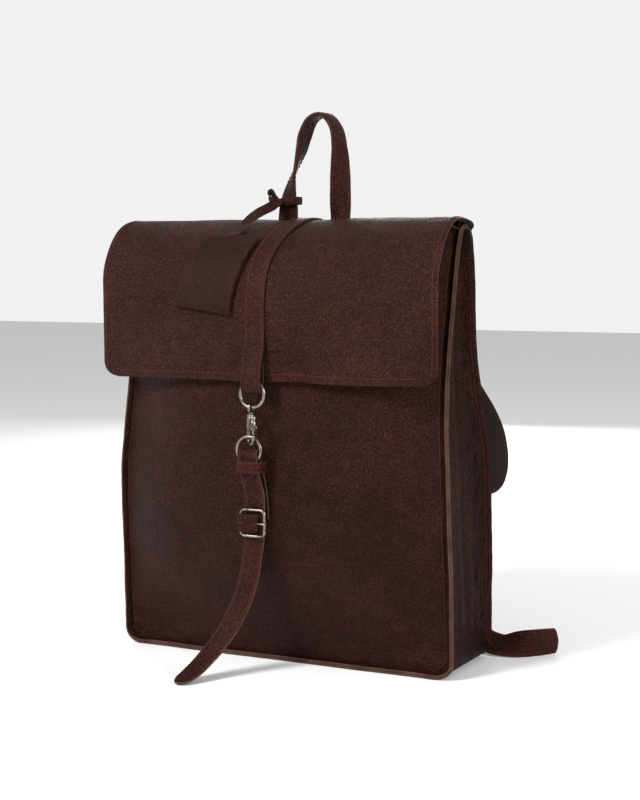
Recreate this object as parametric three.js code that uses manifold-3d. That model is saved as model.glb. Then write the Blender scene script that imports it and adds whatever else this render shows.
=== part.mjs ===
// Leather flap backpack, built from its separate pieces.
// Units are mm. +X is the bag's right as seen from the front, the front faces -Y, +Z is up.
// The origin is the centre of the flat bottom.
import * as THREE from "three";
import { mergeVertices } from "three/addons/utils/BufferGeometryUtils.js";
import Module from "manifold-3d";

const wasm = await Module();
wasm.setup();

// Driving dimensions
const LEATHER = 2.2;
const LINING = 0.9;
const GAP = 0.4;
const BASE_HALF_WIDTH = 164;
const BASE_DEPTH = 92;
const BODY_FLOOR = LEATHER + GAP;
const SEAM_TOP = 384;
const HINGE_Z = 385;
const FLAP_HALF_WIDTH = 166;
const FLAP_HINGE_HALF_WIDTH = 157.5;
const FACING_HALF_WIDTH = 157;
const STRAP_WIDTH = 19;
const STRAP_THICKNESS = 2;
const CLASP_Y = -104.5;
const UPPER_RING = { x: 2, z: 246.5, radius: 11.6, wire: 1.5 };
const LOWER_RING = { x: -1.5, z: 198, radius: 11.6, wire: 1.5 };
const HOOK_X = 0.6;
const HOOK_TURN = THREE.MathUtils.degToRad(-40);
const BUCKLE = { x: 2.5, y: -105.4, z: 134.4, width: 26, height: 25.5, wire: 1.35 };
const HANDLE_Y = 5;
const HANDLE_FOOT_Z = 402;
const HANDLE_THICKNESS = 3.4;
const REAR_BUCKLE = { x: 100, y: 70, z: 104, width: 31, height: 24, wire: 1.6 };

// Half-width and depth of the body at a height, as [height, value] rows.
const SEAM_HALF_WIDTH = [[0, 164], [88, 164], [174, 162.5], [215, 159.5], [245, 158], [386, 156]];
const FRONT_SEAM_Y = [
  [0, -45], [88, -48], [136, -52], [174, -53], [215, -50], [240, -47],
  [286, -40], [328, -29], [353, -23], [370, -19], [386, -12],
];
const FRONT_BULGE = [
  [0, 0], [40, 18], [90, 38], [140, 41], [200, 40], [262, 46], [330, 56], [350, 54], [386, 46],
];
const BACK_SEAM_Y = [
  [0, 46], [90, 45], [190, 44], [245, 30], [284, 18], [310, 16.5], [340, 17],
  [358, 15.5], [374, 13], [386, 10],
];
const BACK_BULGE = [
  [0, 0], [60, 8], [190, 8], [284, 10], [310, 8.6], [340, 4.7], [358, 4], [374, 4], [386, 5],
];

// Cross-sections of the flap and of its facing, from the back hinge line to the front edge: [y, z].
const FLAP_END = [
  [12, 385.8], [8, 392], [-10, 396.5], [-38, 398.4], [-53, 394], [-67, 383],
  [-78, 366], [-84, 352], [-85, 330], [-85, 293], [-85, 256],
];
const FLAP_CENTRE = [
  [18.5, 385.6], [17, 393], [8, 399], [-11, 400], [-36, 396], [-62, 384],
  [-80, 367], [-91, 350], [-98, 328], [-99, 293], [-99, 257],
];
const FACING_END = [[-10, 388.5], [-24, 391], [-38, 392], [-48, 387], [-56, 372], [-58, 362]];
const FACING_CENTRE = [[6, 394], [-14, 394.5], [-38, 390], [-58, 380.5], [-73, 368], [-80, 360]];

const backpack = new THREE.Group();
backpack.name = "leather_backpack";

const MATERIALS = {
  leather: { color: 0x38221f, roughness: 0.55, metalness: 0 },
  lining: { color: 0x5d4c3f, roughness: 0.95, metalness: 0 },
  foam: { color: 0x4a4a4c, roughness: 0.95, metalness: 0 },
  board: { color: 0x8a7a66, roughness: 0.9, metalness: 0 },
  card: { color: 0xe6dfcf, roughness: 0.8, metalness: 0 },
  metal: { color: 0xb5ab9b, roughness: 0.32, metalness: 0.95 },
};

function add(name, geometry, materialName) {
  const mesh = new THREE.Mesh(geometry, new THREE.MeshStandardMaterial(MATERIALS[materialName]));
  mesh.name = name;
  backpack.add(mesh);
}

// Value of a [key, value] table at a key, with straight lines between the rows.
function lookUp(table, key) {
  if (key <= table[0][0]) return table[0][1];
  for (let i = 1; i < table.length; i += 1) {
    const [k0, v0] = table[i - 1];
    const [k1, v1] = table[i];
    if (key <= k1) return v0 + ((v1 - v0) * (key - k0)) / (k1 - k0);
  }
  return table[table.length - 1][1];
}

function sealed(geometry) {
  const bare = geometry.clone();
  bare.deleteAttribute("normal");
  bare.deleteAttribute("uv");
  return mergeVertices(bare, 1e-4);
}

function toManifold(geometry) {
  const closed = sealed(geometry);
  return new wasm.Manifold(
    new wasm.Mesh({
      numProp: 3,
      vertProperties: new Float32Array(closed.attributes.position.array),
      triVerts: new Uint32Array(closed.index.array),
    }),
  );
}

function fromManifold(solid) {
  const mesh = solid.getMesh();
  const geometry = new THREE.BufferGeometry();
  geometry.setAttribute("position", new THREE.BufferAttribute(new Float32Array(mesh.vertProperties), 3));
  geometry.setIndex(new THREE.BufferAttribute(new Uint32Array(mesh.triVerts), 1));
  geometry.computeVertexNormals();
  return geometry;
}

function join(...geometries) {
  return fromManifold(geometries.map(toManifold).reduce((a, b) => a.add(b)));
}

function cut(geometry, ...tools) {
  return fromManifold(tools.map(toManifold).reduce((a, b) => a.subtract(b), toManifold(geometry)));
}

function box(x0, x1, y0, y1, z0, z1) {
  const geometry = new THREE.BoxGeometry(x1 - x0, y1 - y0, z1 - z0);
  return geometry.translate((x0 + x1) / 2, (y0 + y1) / 2, (z0 + z1) / 2);
}

function rod(from, to, radius, sides = 12) {
  const start = new THREE.Vector3(...from);
  const end = new THREE.Vector3(...to);
  const direction = end.clone().sub(start);
  const geometry = new THREE.CylinderGeometry(radius, radius, direction.length(), sides);
  const turn = new THREE.Quaternion();
  turn.setFromUnitVectors(new THREE.Vector3(0, 1, 0), direction.clone().normalize());
  return geometry.applyQuaternion(turn).translate(...start.add(end).multiplyScalar(0.5));
}

// Short open tube about a centre; halfLength is the vector from the centre to one end.
function tube(centre, halfLength, outerRadius, innerRadius) {
  const end = (share) => centre.map((value, k) => value + share * halfLength[k]);
  return cut(rod(end(-1), end(1), outerRadius, 16), rod(end(-1.5), end(1.5), innerRadius, 16));
}

function curve(points) {
  return new THREE.CatmullRomCurve3(points.map((p) => new THREE.Vector3(...p)));
}

// Closed sheet of one thickness. place(u, v) gives the outer face; the sheet lies behind it,
// on the side away from the cross product of its u and v directions.
function sheet(place, columns, rows, thickness, inset = 0) {
  const step = 1e-3;
  const positions = [];
  const corner = (side, i, j) => side * (columns + 1) * (rows + 1) + j * (columns + 1) + i;
  for (const depth of [inset, inset + thickness]) {
    for (let j = 0; j <= rows; j += 1) {
      for (let i = 0; i <= columns; i += 1) {
        const u = i / columns;
        const v = j / rows;
        const du = place(Math.min(u + step, 1), v).sub(place(Math.max(u - step, 0), v));
        const dv = place(u, Math.min(v + step, 1)).sub(place(u, Math.max(v - step, 0)));
        const normal = du.cross(dv).normalize();
        positions.push(...place(u, v).addScaledVector(normal, -depth).toArray());
      }
    }
  }
  const triangles = [];
  const quad = (a, b, c, d) => triangles.push(a, b, c, a, c, d);
  for (let j = 0; j < rows; j += 1) {
    for (let i = 0; i < columns; i += 1) {
      quad(corner(0, i, j), corner(0, i + 1, j), corner(0, i + 1, j + 1), corner(0, i, j + 1));
      quad(corner(1, i, j + 1), corner(1, i + 1, j + 1), corner(1, i + 1, j), corner(1, i, j));
    }
  }
  for (let i = 0; i < columns; i += 1) {
    quad(corner(1, i, 0), corner(1, i + 1, 0), corner(0, i + 1, 0), corner(0, i, 0));
    quad(corner(0, i, rows), corner(0, i + 1, rows), corner(1, i + 1, rows), corner(1, i, rows));
  }
  for (let j = 0; j < rows; j += 1) {
    quad(corner(0, 0, j), corner(0, 0, j + 1), corner(1, 0, j + 1), corner(1, 0, j));
    quad(corner(1, columns, j), corner(1, columns, j + 1), corner(0, columns, j + 1), corner(0, columns, j));
  }
  return closedGeometry(positions, triangles);
}

function closedGeometry(positions, triangles) {
  const geometry = new THREE.BufferGeometry();
  geometry.setAttribute("position", new THREE.Float32BufferAttribute(positions, 3));
  geometry.setIndex(triangles);
  geometry.computeVertexNormals();
  return geometry;
}

// Strap of rectangular section along a smooth path. Each row is
// [x, y, z] or [x, y, z, half-width, width direction]; missing values keep the last ones.
function strap(rows, thickness, halfWidth, widthDirection, samples) {
  let half = halfWidth;
  let across = new THREE.Vector3(...widthDirection);
  const stations = rows.map(([x, y, z, ownHalf, ownAcross]) => {
    half = ownHalf ?? half;
    across = ownAcross ? new THREE.Vector3(...ownAcross).normalize() : across;
    return { point: new THREE.Vector3(x, y, z), half, across };
  });
  const path = new THREE.CatmullRomCurve3(stations.map((s) => s.point), false, "centripetal");
  const positions = [];
  for (let k = 0; k <= samples; k += 1) {
    const t = k / samples;
    const slot = Math.min(t * (stations.length - 1), stations.length - 1 - 1e-9);
    const before = stations[Math.floor(slot)];
    const after = stations[Math.floor(slot) + 1];
    const share = slot - Math.floor(slot);
    const centre = path.getPoint(t);
    const along = path.getTangent(t);
    const side = before.across.clone().lerp(after.across, share);
    side.addScaledVector(along, -side.dot(along)).normalize();
    const normal = along.clone().cross(side);
    const reach = before.half + (after.half - before.half) * share;
    for (const [a, b] of [[-1, -1], [1, -1], [1, 1], [-1, 1]]) {
      const corner = centre.clone().addScaledVector(side, a * reach);
      positions.push(...corner.addScaledVector(normal, (b * thickness) / 2).toArray());
    }
  }
  const triangles = [];
  for (let k = 0; k < samples; k += 1) {
    for (let e = 0; e < 4; e += 1) {
      const a = 4 * k + e;
      const b = 4 * k + ((e + 1) % 4);
      triangles.push(a, b, b + 4, a, b + 4, a + 4);
    }
  }
  const last = 4 * samples;
  triangles.push(0, 2, 1, 0, 3, 2, last, last + 1, last + 2, last, last + 2, last + 3);
  return closedGeometry(positions, triangles);
}

// Round wire along a curve, closed at both ends.
function wire(path, radius, steps, sides = 8) {
  const section = new THREE.Shape();
  section.absarc(0, 0, radius, 0, Math.PI * 2);
  return new THREE.ExtrudeGeometry(section, { steps, curveSegments: sides / 2, extrudePath: path });
}

function ringXZ({ x, z, radius, wire: wireRadius }, y) {
  const geometry = new THREE.TorusGeometry(radius, wireRadius, 8, 22);
  return geometry.rotateX(Math.PI / 2).translate(x, y, z);
}

// Rectangular wire frame in the XZ plane with rounded corners.
function wireFrame({ x, y, z, width, height, wire: wireRadius }, cornerRadius) {
  const halfX = width / 2 - wireRadius;
  const halfZ = height / 2 - wireRadius;
  const outer = roundedRectangle(halfX + wireRadius, halfZ + wireRadius, cornerRadius + wireRadius);
  outer.holes.push(roundedRectangle(halfX - wireRadius, halfZ - wireRadius, cornerRadius - wireRadius));
  const bevel = wireRadius * 0.45;
  const depth = 2 * (wireRadius - bevel);
  const options = { depth, bevelEnabled: true, bevelSize: bevel, bevelOffset: -bevel };
  const geometry = new THREE.ExtrudeGeometry(outer, {
    ...options, bevelThickness: bevel, bevelSegments: 1, curveSegments: 2,
  });
  return geometry.translate(0, 0, -depth / 2).rotateX(Math.PI / 2).translate(x, y, z);
}

function roundedRectangle(halfX, halfZ, radius) {
  const shape = new THREE.Shape();
  shape.absarc(halfX - radius, halfZ - radius, radius, 0, Math.PI / 2);
  shape.absarc(-halfX + radius, halfZ - radius, radius, Math.PI / 2, Math.PI);
  shape.absarc(-halfX + radius, -halfZ + radius, radius, Math.PI, 1.5 * Math.PI);
  shape.absarc(halfX - radius, -halfZ + radius, radius, 1.5 * Math.PI, 2 * Math.PI);
  shape.closePath();
  return shape;
}

function frontY(x, z) {
  const share = Math.abs(x) / lookUp(SEAM_HALF_WIDTH, z);
  return lookUp(FRONT_SEAM_Y, z) - lookUp(FRONT_BULGE, z) * (1 - share ** 3);
}

function backY(x, z) {
  const share = Math.abs(x) / lookUp(SEAM_HALF_WIDTH, z);
  return lookUp(BACK_SEAM_Y, z) + lookUp(BACK_BULGE, z) * (1 - share ** 3);
}

function addBottom() {
  const outline = roundedRectangle(BASE_HALF_WIDTH, BASE_DEPTH / 2, 10);
  const options = { depth: LEATHER, bevelEnabled: false, curveSegments: 2 };
  const leather = new THREE.ExtrudeGeometry(outline, options);
  add("base_panel", leather, "leather");
  const boardZ = BODY_FLOOR + 0.4;
  add("base_board", box(-150, 150, -36, 36, boardZ, boardZ + 2.4), "board");
  const liningZ = boardZ + 2.8;
  add("lining_base", box(-150, 150, -36, 36, liningZ, liningZ + LINING), "lining");
}

// Front or back panel face: u runs across, v runs up to an edge that dips at the middle.
function panelFace(depthAt, { low, endTop, centreTop, sideTrim, direction }) {
  return (u, v) => {
    const across = direction * (2 * u - 1);
    const top = endTop - (endTop - centreTop) * (1 - across ** 2);
    const z = low + (top - low) * v;
    const x = across * (lookUp(SEAM_HALF_WIDTH, z) - sideTrim);
    return new THREE.Vector3(x, depthAt(x, z), z);
  };
}

function addBodyPanels() {
  const frontSize = { low: BODY_FLOOR, endTop: SEAM_TOP, centreTop: 362, sideTrim: 0, direction: 1 };
  const backSize = { low: BODY_FLOOR, endTop: SEAM_TOP, centreTop: SEAM_TOP, sideTrim: 0, direction: -1 };
  add("front_panel", sheet(panelFace(frontY, frontSize), 12, 12, LEATHER), "leather");
  add("back_panel", sheet(panelFace(backY, backSize), 10, 12, LEATHER), "leather");
  const liningLow = { low: 12, sideTrim: 9 };
  const frontLining = panelFace(frontY, { ...frontSize, ...liningLow, endTop: 376, centreTop: 356 });
  const backLining = panelFace(backY, { ...backSize, ...liningLow, endTop: 372, centreTop: 376 });
  add("lining_front", sheet(frontLining, 10, 10, LINING, LEATHER + 2.6), "lining");
  add("lining_back", sheet(backLining, 10, 10, LINING, LEATHER + 7), "lining");
  const foamSize = { ...backSize, low: 20, sideTrim: 26, endTop: 330, centreTop: 330 };
  add("back_foam", sheet(panelFace(backY, foamSize), 8, 9, 3, LEATHER + 1.6), "foam");
}

// Side face between the front and back panels, with a soft fold inwards half way.
function gussetFace(side, { low, top, trim, fold }) {
  return (u, v) => {
    const z = low + (top - low) * v;
    const front = lookUp(FRONT_SEAM_Y, z) + trim;
    const back = lookUp(BACK_SEAM_Y, z) - trim;
    const share = side > 0 ? u : 1 - u;
    const inwards = fold * Math.sin(Math.PI * share) * Math.min(1, z / 150);
    const x = side * (lookUp(SEAM_HALF_WIDTH, z) - inwards);
    return new THREE.Vector3(x, front + (back - front) * share, z);
  };
}

function addGussets() {
  const leatherSize = { low: BODY_FLOOR, top: SEAM_TOP - 4, trim: LEATHER + 3, fold: 5 };
  const liningSize = { low: 12, top: 330, trim: 9, fold: 5 };
  for (const [label, side] of [["left", -1], ["right", 1]]) {
    const leather = sheet(gussetFace(side, leatherSize), 4, 12, LEATHER);
    add(`gusset_${label}`, leather, "leather");
    const lining = sheet(gussetFace(side, liningSize), 4, 8, LINING, LEATHER + 3);
    add(`lining_side_${label}`, lining, "lining");
  }
}

function addDivider() {
  add("divider", box(-138, 138, 7, 9.4, 16, 262), "lining");
  add("divider_binding", box(-138, 138, 6, 10.4, 262.4, 272), "leather");
}

// Flap surface between its end and centre sections; u runs across, v from the hinge to the front.
function flapFace(endRows, centreRows, halfWidth, hingeHalfWidth) {
  const pick = (rows, v) => {
    const slot = Math.min(v * (rows.length - 1), rows.length - 1 - 1e-9);
    const [y0, z0] = rows[Math.floor(slot)];
    const [y1, z1] = rows[Math.floor(slot) + 1];
    const share = slot - Math.floor(slot);
    return [y0 + (y1 - y0) * share, z0 + (z1 - z0) * share];
  };
  return (u, v) => {
    const across = 1 - 2 * u;
    const [yEnd, zEnd] = pick(endRows, v);
    const [yMid, zMid] = pick(centreRows, v);
    const middle = 1 - across ** 2;
    const spread = Math.min(1, v / 0.2);
    return new THREE.Vector3(
      across * (hingeHalfWidth + (halfWidth - hingeHalfWidth) * spread),
      yEnd + (yMid - yEnd) * middle,
      zEnd + (zMid - zEnd) * middle,
    );
  };
}

function addFlap() {
  const flap = flapFace(FLAP_END, FLAP_CENTRE, FLAP_HALF_WIDTH, FLAP_HINGE_HALF_WIDTH);
  add("flap", sheet(flap, 12, 10, LEATHER), "leather");
  const facing = flapFace(FACING_END, FACING_CENTRE, FACING_HALF_WIDTH, FACING_HALF_WIDTH);
  add("flap_facing", sheet(facing, 12, 5, 1.2), "leather");
  const anchorTop = HINGE_Z - 2.4;
  const anchorSize = { low: 352, endTop: anchorTop, centreTop: anchorTop, sideTrim: 1, direction: -1 };
  const outside = -(GAP + 2);
  add("flap_anchor", sheet(panelFace(backY, anchorSize), 10, 3, 2, outside), "leather");
}

// Strap sewn over the flap; its free end folds round the upper ring.
function addFlapStrap() {
  const { x } = UPPER_RING;
  const half = STRAP_WIDTH / 2;
  const over = [
    [8, 9, 400.9], [8, -2, 402.2], [8, -14, 402], [7.4, -36.6, 398], [5, -63, 385.9],
    [1, -81.6, 368.4], [0, -92.7, 350.9], [0.4, -100, 328.3], [1.4, -101, 305], [x, -101, 280],
  ];
  add("flap_strap", strap(over, STRAP_THICKNESS, half, [1, 0, 0], 22), "leather");
  const loop = [
    [x, -103.4, 279], [x, -105.9, 270], [x, -107.6, 262], [x, -107.7, 255], [x, -107.2, 250.6],
    [x, -104.5, 247.8], [x, -101.9, 250.6], [x, -101.4, 255], [x, -101.2, 262], [x, -101.2, 274],
  ];
  add("flap_strap_loop", strap(loop, STRAP_THICKNESS, half, [1, 0, 0], 24), "leather");
  add("upper_ring", ringXZ(UPPER_RING, CLASP_Y), "metal");
}

// Hook parts are drawn in a local XZ plane with the swivel on the Z axis, then turned and placed.
function placeHook(geometry) {
  return geometry.rotateZ(HOOK_TURN).translate(HOOK_X, CLASP_Y, 0);
}

function hookEye() {
  const eye = new THREE.TorusGeometry(3.7, 1.1, 8, 18);
  eye.rotateY(Math.PI / 2).rotateZ(-HOOK_TURN).translate(0, 0, 234.4);
  const stem = rod([0, 0, 231], [0, 0, 222.6], 1.2, 12);
  const head = rod([0, 0, 223.8], [0, 0, 222.6], 2, 12);
  return join(eye, stem, head);
}

function hookBody() {
  const arm = curve([
    [-4.6, 0, 227], [-5.8, 0, 221], [-6, 0, 215], [-5.7, 0, 208], [-3.6, 0, 204.2],
    [0, 0, 202.6], [3.8, 0, 204.4], [5.6, 0, 208], [5.8, 0, 211.2],
  ]);
  const collar = rod([0, 0, 229], [0, 0, 225], 3.4, 16);
  const bridge = box(-5.6, 7.6, -1.7, 1.7, 225, 228.4);
  const barrel = rod([5.8, 0, 228], [5.8, 0, 215.6], 2.7, 16);
  const stemBore = rod([0, 0, 230], [0, 0, 224], 1.35, 16);
  const boltBore = rod([5.8, 0, 226], [5.8, 0, 214], 1.55, 16);
  const thumbSlot = box(5.8, 10, -1.1, 1.1, 216.6, 223.6);
  return cut(join(wire(arm, 1.5, 22), collar, bridge, barrel), stemBore, boltBore, thumbSlot);
}

function hookBolt() {
  const bolt = rod([5.8, 0, 219.6], [5.8, 0, 211.6], 1.3, 12);
  const thumb = rod([5.8, 0, 218.4], [11.4, 0, 218.4], 0.9, 10);
  const knob = rod([10.4, 0, 218.4], [12, 0, 218.4], 1.5, 12);
  return join(bolt, thumb, knob);
}

function hookSpring() {
  const turns = 4;
  const steps = 32;
  const low = 220.3;
  const high = 225.3;
  const points = [];
  for (let i = 0; i <= steps; i += 1) {
    const angle = (2 * Math.PI * turns * i) / steps;
    const z = low + ((high - low) * i) / steps;
    points.push([5.8 + 1.05 * Math.cos(angle), 1.05 * Math.sin(angle), z]);
  }
  return wire(curve(points), 0.22, steps, 4);
}

function addHook() {
  add("hook_eye", placeHook(hookEye()), "metal");
  add("hook_body", placeHook(hookBody()), "metal");
  add("hook_bolt", placeHook(hookBolt()), "metal");
  add("hook_spring", placeHook(hookSpring()), "metal");
}

// Strap from the front panel up round the lower ring and down through keeper and buckle to the floor.
function addLowerStrap() {
  const { x } = LOWER_RING;
  const half = STRAP_WIDTH / 2;
  const back = CLASP_Y + 3.1;
  const front = CLASP_Y - 3.1;
  const rows = [
    [x + 4.8, -95, 136], [x + 4, -95.2, 155], [x + 2.4, -97, 172],
    [x + 1.2, back + 0.6, 182],
    [x + 0.5, back, 190], [x, back + 0.2, 195.4], [x, CLASP_Y, 198.4], [x, front - 0.2, 195.4],
    [x + 0.4, front, 190], [x + 1, front + 1.4, 181], [x + 2.2, front + 4, 170], [x + 3.4, -100.2, 158],
    [x + 3.6, -100, 140], [x + 3.2, -100.2, 122], [x + 2, -101.2, 108], [x, -103.2, 90],
    [x - 3.6, -106.6, 72], [x - 10, -112.6, 52], [x - 18, -121.6, 34], [x - 26, -134, 19],
    [x - 32, -148, 8.5], [x - 36, -160, 3.4, 8.5], [x - 38, -165.4, 2.6, 4.5],
  ];
  add("lower_strap", strap(rows, STRAP_THICKNESS, half, [1, 0, 0], 60), "leather");
  add("lower_ring", ringXZ(LOWER_RING, CLASP_Y), "metal");
  const keeperX = x + 1.1;
  const outer = box(keeperX - 11.8, keeperX + 11.8, -110.4, -95.4, 178, 188.4);
  const inner = box(keeperX - 10.5, keeperX + 10.5, -109.1, -96.6, 170, 196);
  add("strap_keeper", cut(outer, inner), "leather");
}

function addBuckle() {
  const { x, y, z, width, wire: wireRadius } = BUCKLE;
  const bar = x - width / 2 + wireRadius;
  add("buckle_frame", wireFrame(BUCKLE, 4), "metal");
  const wrap = [
    [x + 6.6, y + 2.7, z], [x, y + 2.7, z], [bar + 1.4, y + 2.7, z], [bar - 1.9, y + 1.9, z],
    [bar - 2.8, y, z], [bar - 1.9, y - 1.9, z], [bar + 1.4, y - 2.8, z], [x, y - 3.1, z], [x + 6, y - 2.7, z],
  ];
  const chape = strap(wrap, 1.4, 7.4, [0, 0, 1], 18);
  const slit = box(bar - 6, x + 8, y - 5, y + 1.6, z - 1.6, z + 1.6);
  const hubRoom = box(bar - 6, bar + 2.8, y - 5, y + 2.6, z - 1.6, z + 1.6);
  add("buckle_chape", cut(chape, slit, hubRoom), "leather");
  const hub = tube([bar, y, z], [0, 0, 1.2], 2.3, 1.75);
  const tongue = curve([
    [bar + 2, y - 0.4, z], [x - 2, y - 1.6, z], [x + 6, y - 2.2, z],
    [x + 10.6, y - 2.6, z], [x + 14.8, y - 2.4, z],
  ]);
  add("buckle_prong", join(hub, wire(tongue, 0.9, 8)), "metal");
}

// Carry loop: both feet face the front and the strip twists a quarter turn on its way over the top.
function addHandle() {
  const y = HANDLE_Y;
  const half = STRAP_WIDTH / 2;
  const rows = [
    [-20.4, y, HANDLE_FOOT_Z, half, [-1, 0, 0]], [-20, y, 410, half, [-1, 0.1, 0]],
    [-19.4, y, 420, half, [-0.92, 0.4, 0]], [-15.6, y, 437, half, [-0.6, 0.8, 0]],
    [-11.4, y, 448, half, [-0.35, 0.93, 0]], [-6.8, y, 462, half, [0, 1, 0]],
    [-3.1, y, 475, half, [0.2, 0.97, 0]], [5, y, 490, half, [0.1, 1, 0]],
    [17, y, 493.4, half, [0.1, 1, 0]], [28, y, 482, half, [0.15, 0.99, 0]],
    [32, y, 463, half, [0.3, 0.95, 0]], [32.8, y, 440, half, [0.7, 0.7, 0]],
    [33, y, 420, half, [0.93, 0.36, 0]], [33.2, y, HANDLE_FOOT_Z, half, [1, 0, 0]],
  ];
  add("handle", strap(rows, HANDLE_THICKNESS, half, [-1, 0, 0], 44), "leather");
}

function addTag() {
  const cuff = cut(box(-31.4, -8, -2.4, 12.4, 412.6, 418.6), box(-30, -9.4, -1, 11, 410, 421));
  add("tag_loop", cuff, "leather");
  const cord = [
    [-25, -4.8, 415.6, 4.5, [1, 0, 0]], [-28, -14, 410.4, 4.5], [-31.5, -28, 404.4, 4.5],
    [-33.5, -42, 398, 4.5], [-34.5, -55, 391, 4.5], [-35.5, -65, 384.8, 4.5],
  ];
  add("tag_strap", strap(cord, 1.8, 4.5, [1, 0, 0], 12), "leather");
  const rows = [[-71, 380], [-86.5, 365.5], [-95.9, 349.2], [-101.8, 330.5], [-102.9, 314]];
  const leaf = (u, v) => {
    const slot = Math.min(v * 4, 4 - 1e-9);
    const [y0, z0] = rows[Math.floor(slot)];
    const [y1, z1] = rows[Math.floor(slot) + 1];
    const share = slot - Math.floor(slot);
    const x = -36 - 13.5 * v + 26 * (1 - 2 * u);
    return new THREE.Vector3(x, y0 + (y1 - y0) * share, z0 + (z1 - z0) * share);
  };
  const card = (u, v) => leaf(0.1 + 0.8 * u, 0.08 + 0.84 * v);
  add("tag_back", sheet(leaf, 4, 8, 1.4), "leather");
  add("tag_card", sheet(card, 4, 8, 0.4, -1.3), "card");
  add("tag_front", sheet(leaf, 4, 8, 1.4, -3.3), "leather");
}

// Everything that one shoulder strap needs. side is 1 for the right and -1 for the left.
function addShoulderStrap(label, side) {
  const { x, y, z, height, wire: wireRadius } = REAR_BUCKLE;
  const topBar = z + height / 2 - wireRadius;
  const place = (rows) => rows.map(([a, b, c, half, across]) => {
    const turned = across ? [side * across[0], across[1], across[2]] : undefined;
    return [side * a, b, c, half, turned];
  });
  const upper = [
    [50, backY(50, 346) + 3.4, 346, 19, [1, 0, 0]], [52, backY(52, 332) + 3.6, 332, 19],
    [56, backY(56, 316) + 6, 316, 19], [69, 47, 292, 19, [1, 0.1, 0]], [100, 67, 262, 19, [1, 0.5, 0]],
    [129, 81, 234, 18, [0.8, 0.8, 0]], [148, 87, 204, 16, [0.5, 1, 0]], [153, 89, 171, 15, [0.5, 1, 0.1]],
    [147, 89, 151, 15, [0.6, 1, 0.2]], [130, 85, 142, 14, [0.8, 0.7, 0.2]],
    [111, 78, 136, 13, [1, 0.2, 0.1]], [101, 74, 128.4, 12, [1, 0, 0]],
  ];
  add(`shoulder_strap_${label}`, strap(place(upper), 4.2, 19, [1, 0, 0], 28), "leather");
  const chape = [
    [x, y - 3.2, topBar + 8], [x, y - 3.1, topBar + 3], [x, y - 2.2, topBar - 2.2], [x, y, topBar - 3.1],
    [x, y + 2.2, topBar - 2.2], [x, y + 3.1, topBar + 1], [x, y + 2.2, topBar + 5],
  ];
  const slit = box(side * x - 1.8, side * x + 1.8, y - 2.7, y + 6, topBar - 6, topBar + 3.4);
  add(`rear_chape_${label}`, cut(strap(place(chape), 1.6, 11, [1, 0, 0], 14), slit), "leather");
  add(`rear_buckle_${label}`, wireFrame({ ...REAR_BUCKLE, x: side * x }, 4), "metal");
  addRearProng(label, side * x, y, topBar, z - height / 2 + wireRadius);
  const adjuster = [
    [142, backY(142, 8) + 1.9, 8, 12, [1, 0, 0]], [140, backY(140, 26) + 2.2, 26, 12],
    [124, backY(124, 52) + 3.6, 52, 12], [104, 64.2, 78, 12], [x, 65.6, z - 17, 12],
    [x, y - 3.7, z - 10.4, 12], [x, y - 1.6, z - 5, 12], [x, y + 3.2, z + 3, 12], [x, y + 5.6, z + 8, 12],
    [x, y + 6.8, z + 13, 12], [x, y + 11, z + 18, 12], [x + 1, y + 16.4, z + 19.6, 12],
    [x + 2, y + 21.6, z + 16, 12], [x + 3, y + 24, z + 6, 12], [x + 6, y + 26, z - 16, 12, [1, 0.1, 0]],
    [x + 14, y + 25, 56, 12, [1, 0.3, 0]], [x + 23, y + 18, 34, 12, [0.8, 0.6, 0.3]],
    [x + 37, y + 6, 17, 12, [0.5, 0.75, 0.45]], [x + 54, y - 4, 11.4, 12, [0.2, 0.8, 0.56]],
    [x + 72, y - 10, 9.6, 12, [0.15, 0.75, 0.64]], [x + 92, y - 5, 12, 12, [0, 0.4, 0.92]],
    [x + 107, y + 7, 12.8, 12, [0, 0.15, 0.99]], [x + 116, y + 18, 12.9, 11.5],
  ];
  add(`adjuster_${label}`, adjusterWithHole(place(adjuster), side * x, y), "leather");
}

function adjusterWithHole(rows, x, y) {
  const { z } = REAR_BUCKLE;
  const hole = box(x - 1.7, x + 1.7, y - 8, y + 10, z - 9, z + 9);
  return cut(strap(rows, 2.2, 12, [1, 0, 0], 52), hole);
}

function addRearProng(label, x, y, topBar, bottomBar) {
  const hub = tube([x, y, topBar], [1.3, 0, 0], 2.4, 1.95);
  const tongue = curve([
    [x, y + 0.4, topBar - 2.1], [x, y + 1.2, topBar - 8],
    [x, y + 2.2, bottomBar + 4], [x, y + 2.9, bottomBar - 2.4],
  ]);
  add(`rear_prong_${label}`, join(hub, wire(tongue, 1, 8)), "metal");
}

function addYoke() {
  const yokeFace = (u, v) => {
    const z = 322 + 26 * v;
    const x = 78 * (1 - 2 * u);
    return new THREE.Vector3(x, backY(x, z), z);
  };
  add("strap_yoke", sheet(yokeFace, 8, 3, 2, -9.4), "leather");
}

addBottom();
addBodyPanels();
addGussets();
addDivider();
addFlap();
addFlapStrap();
addHook();
addLowerStrap();
addBuckle();
addHandle();
addTag();
addYoke();
addShoulderStrap("left", -1);
addShoulderStrap("right", 1);

export default backpack;
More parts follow.
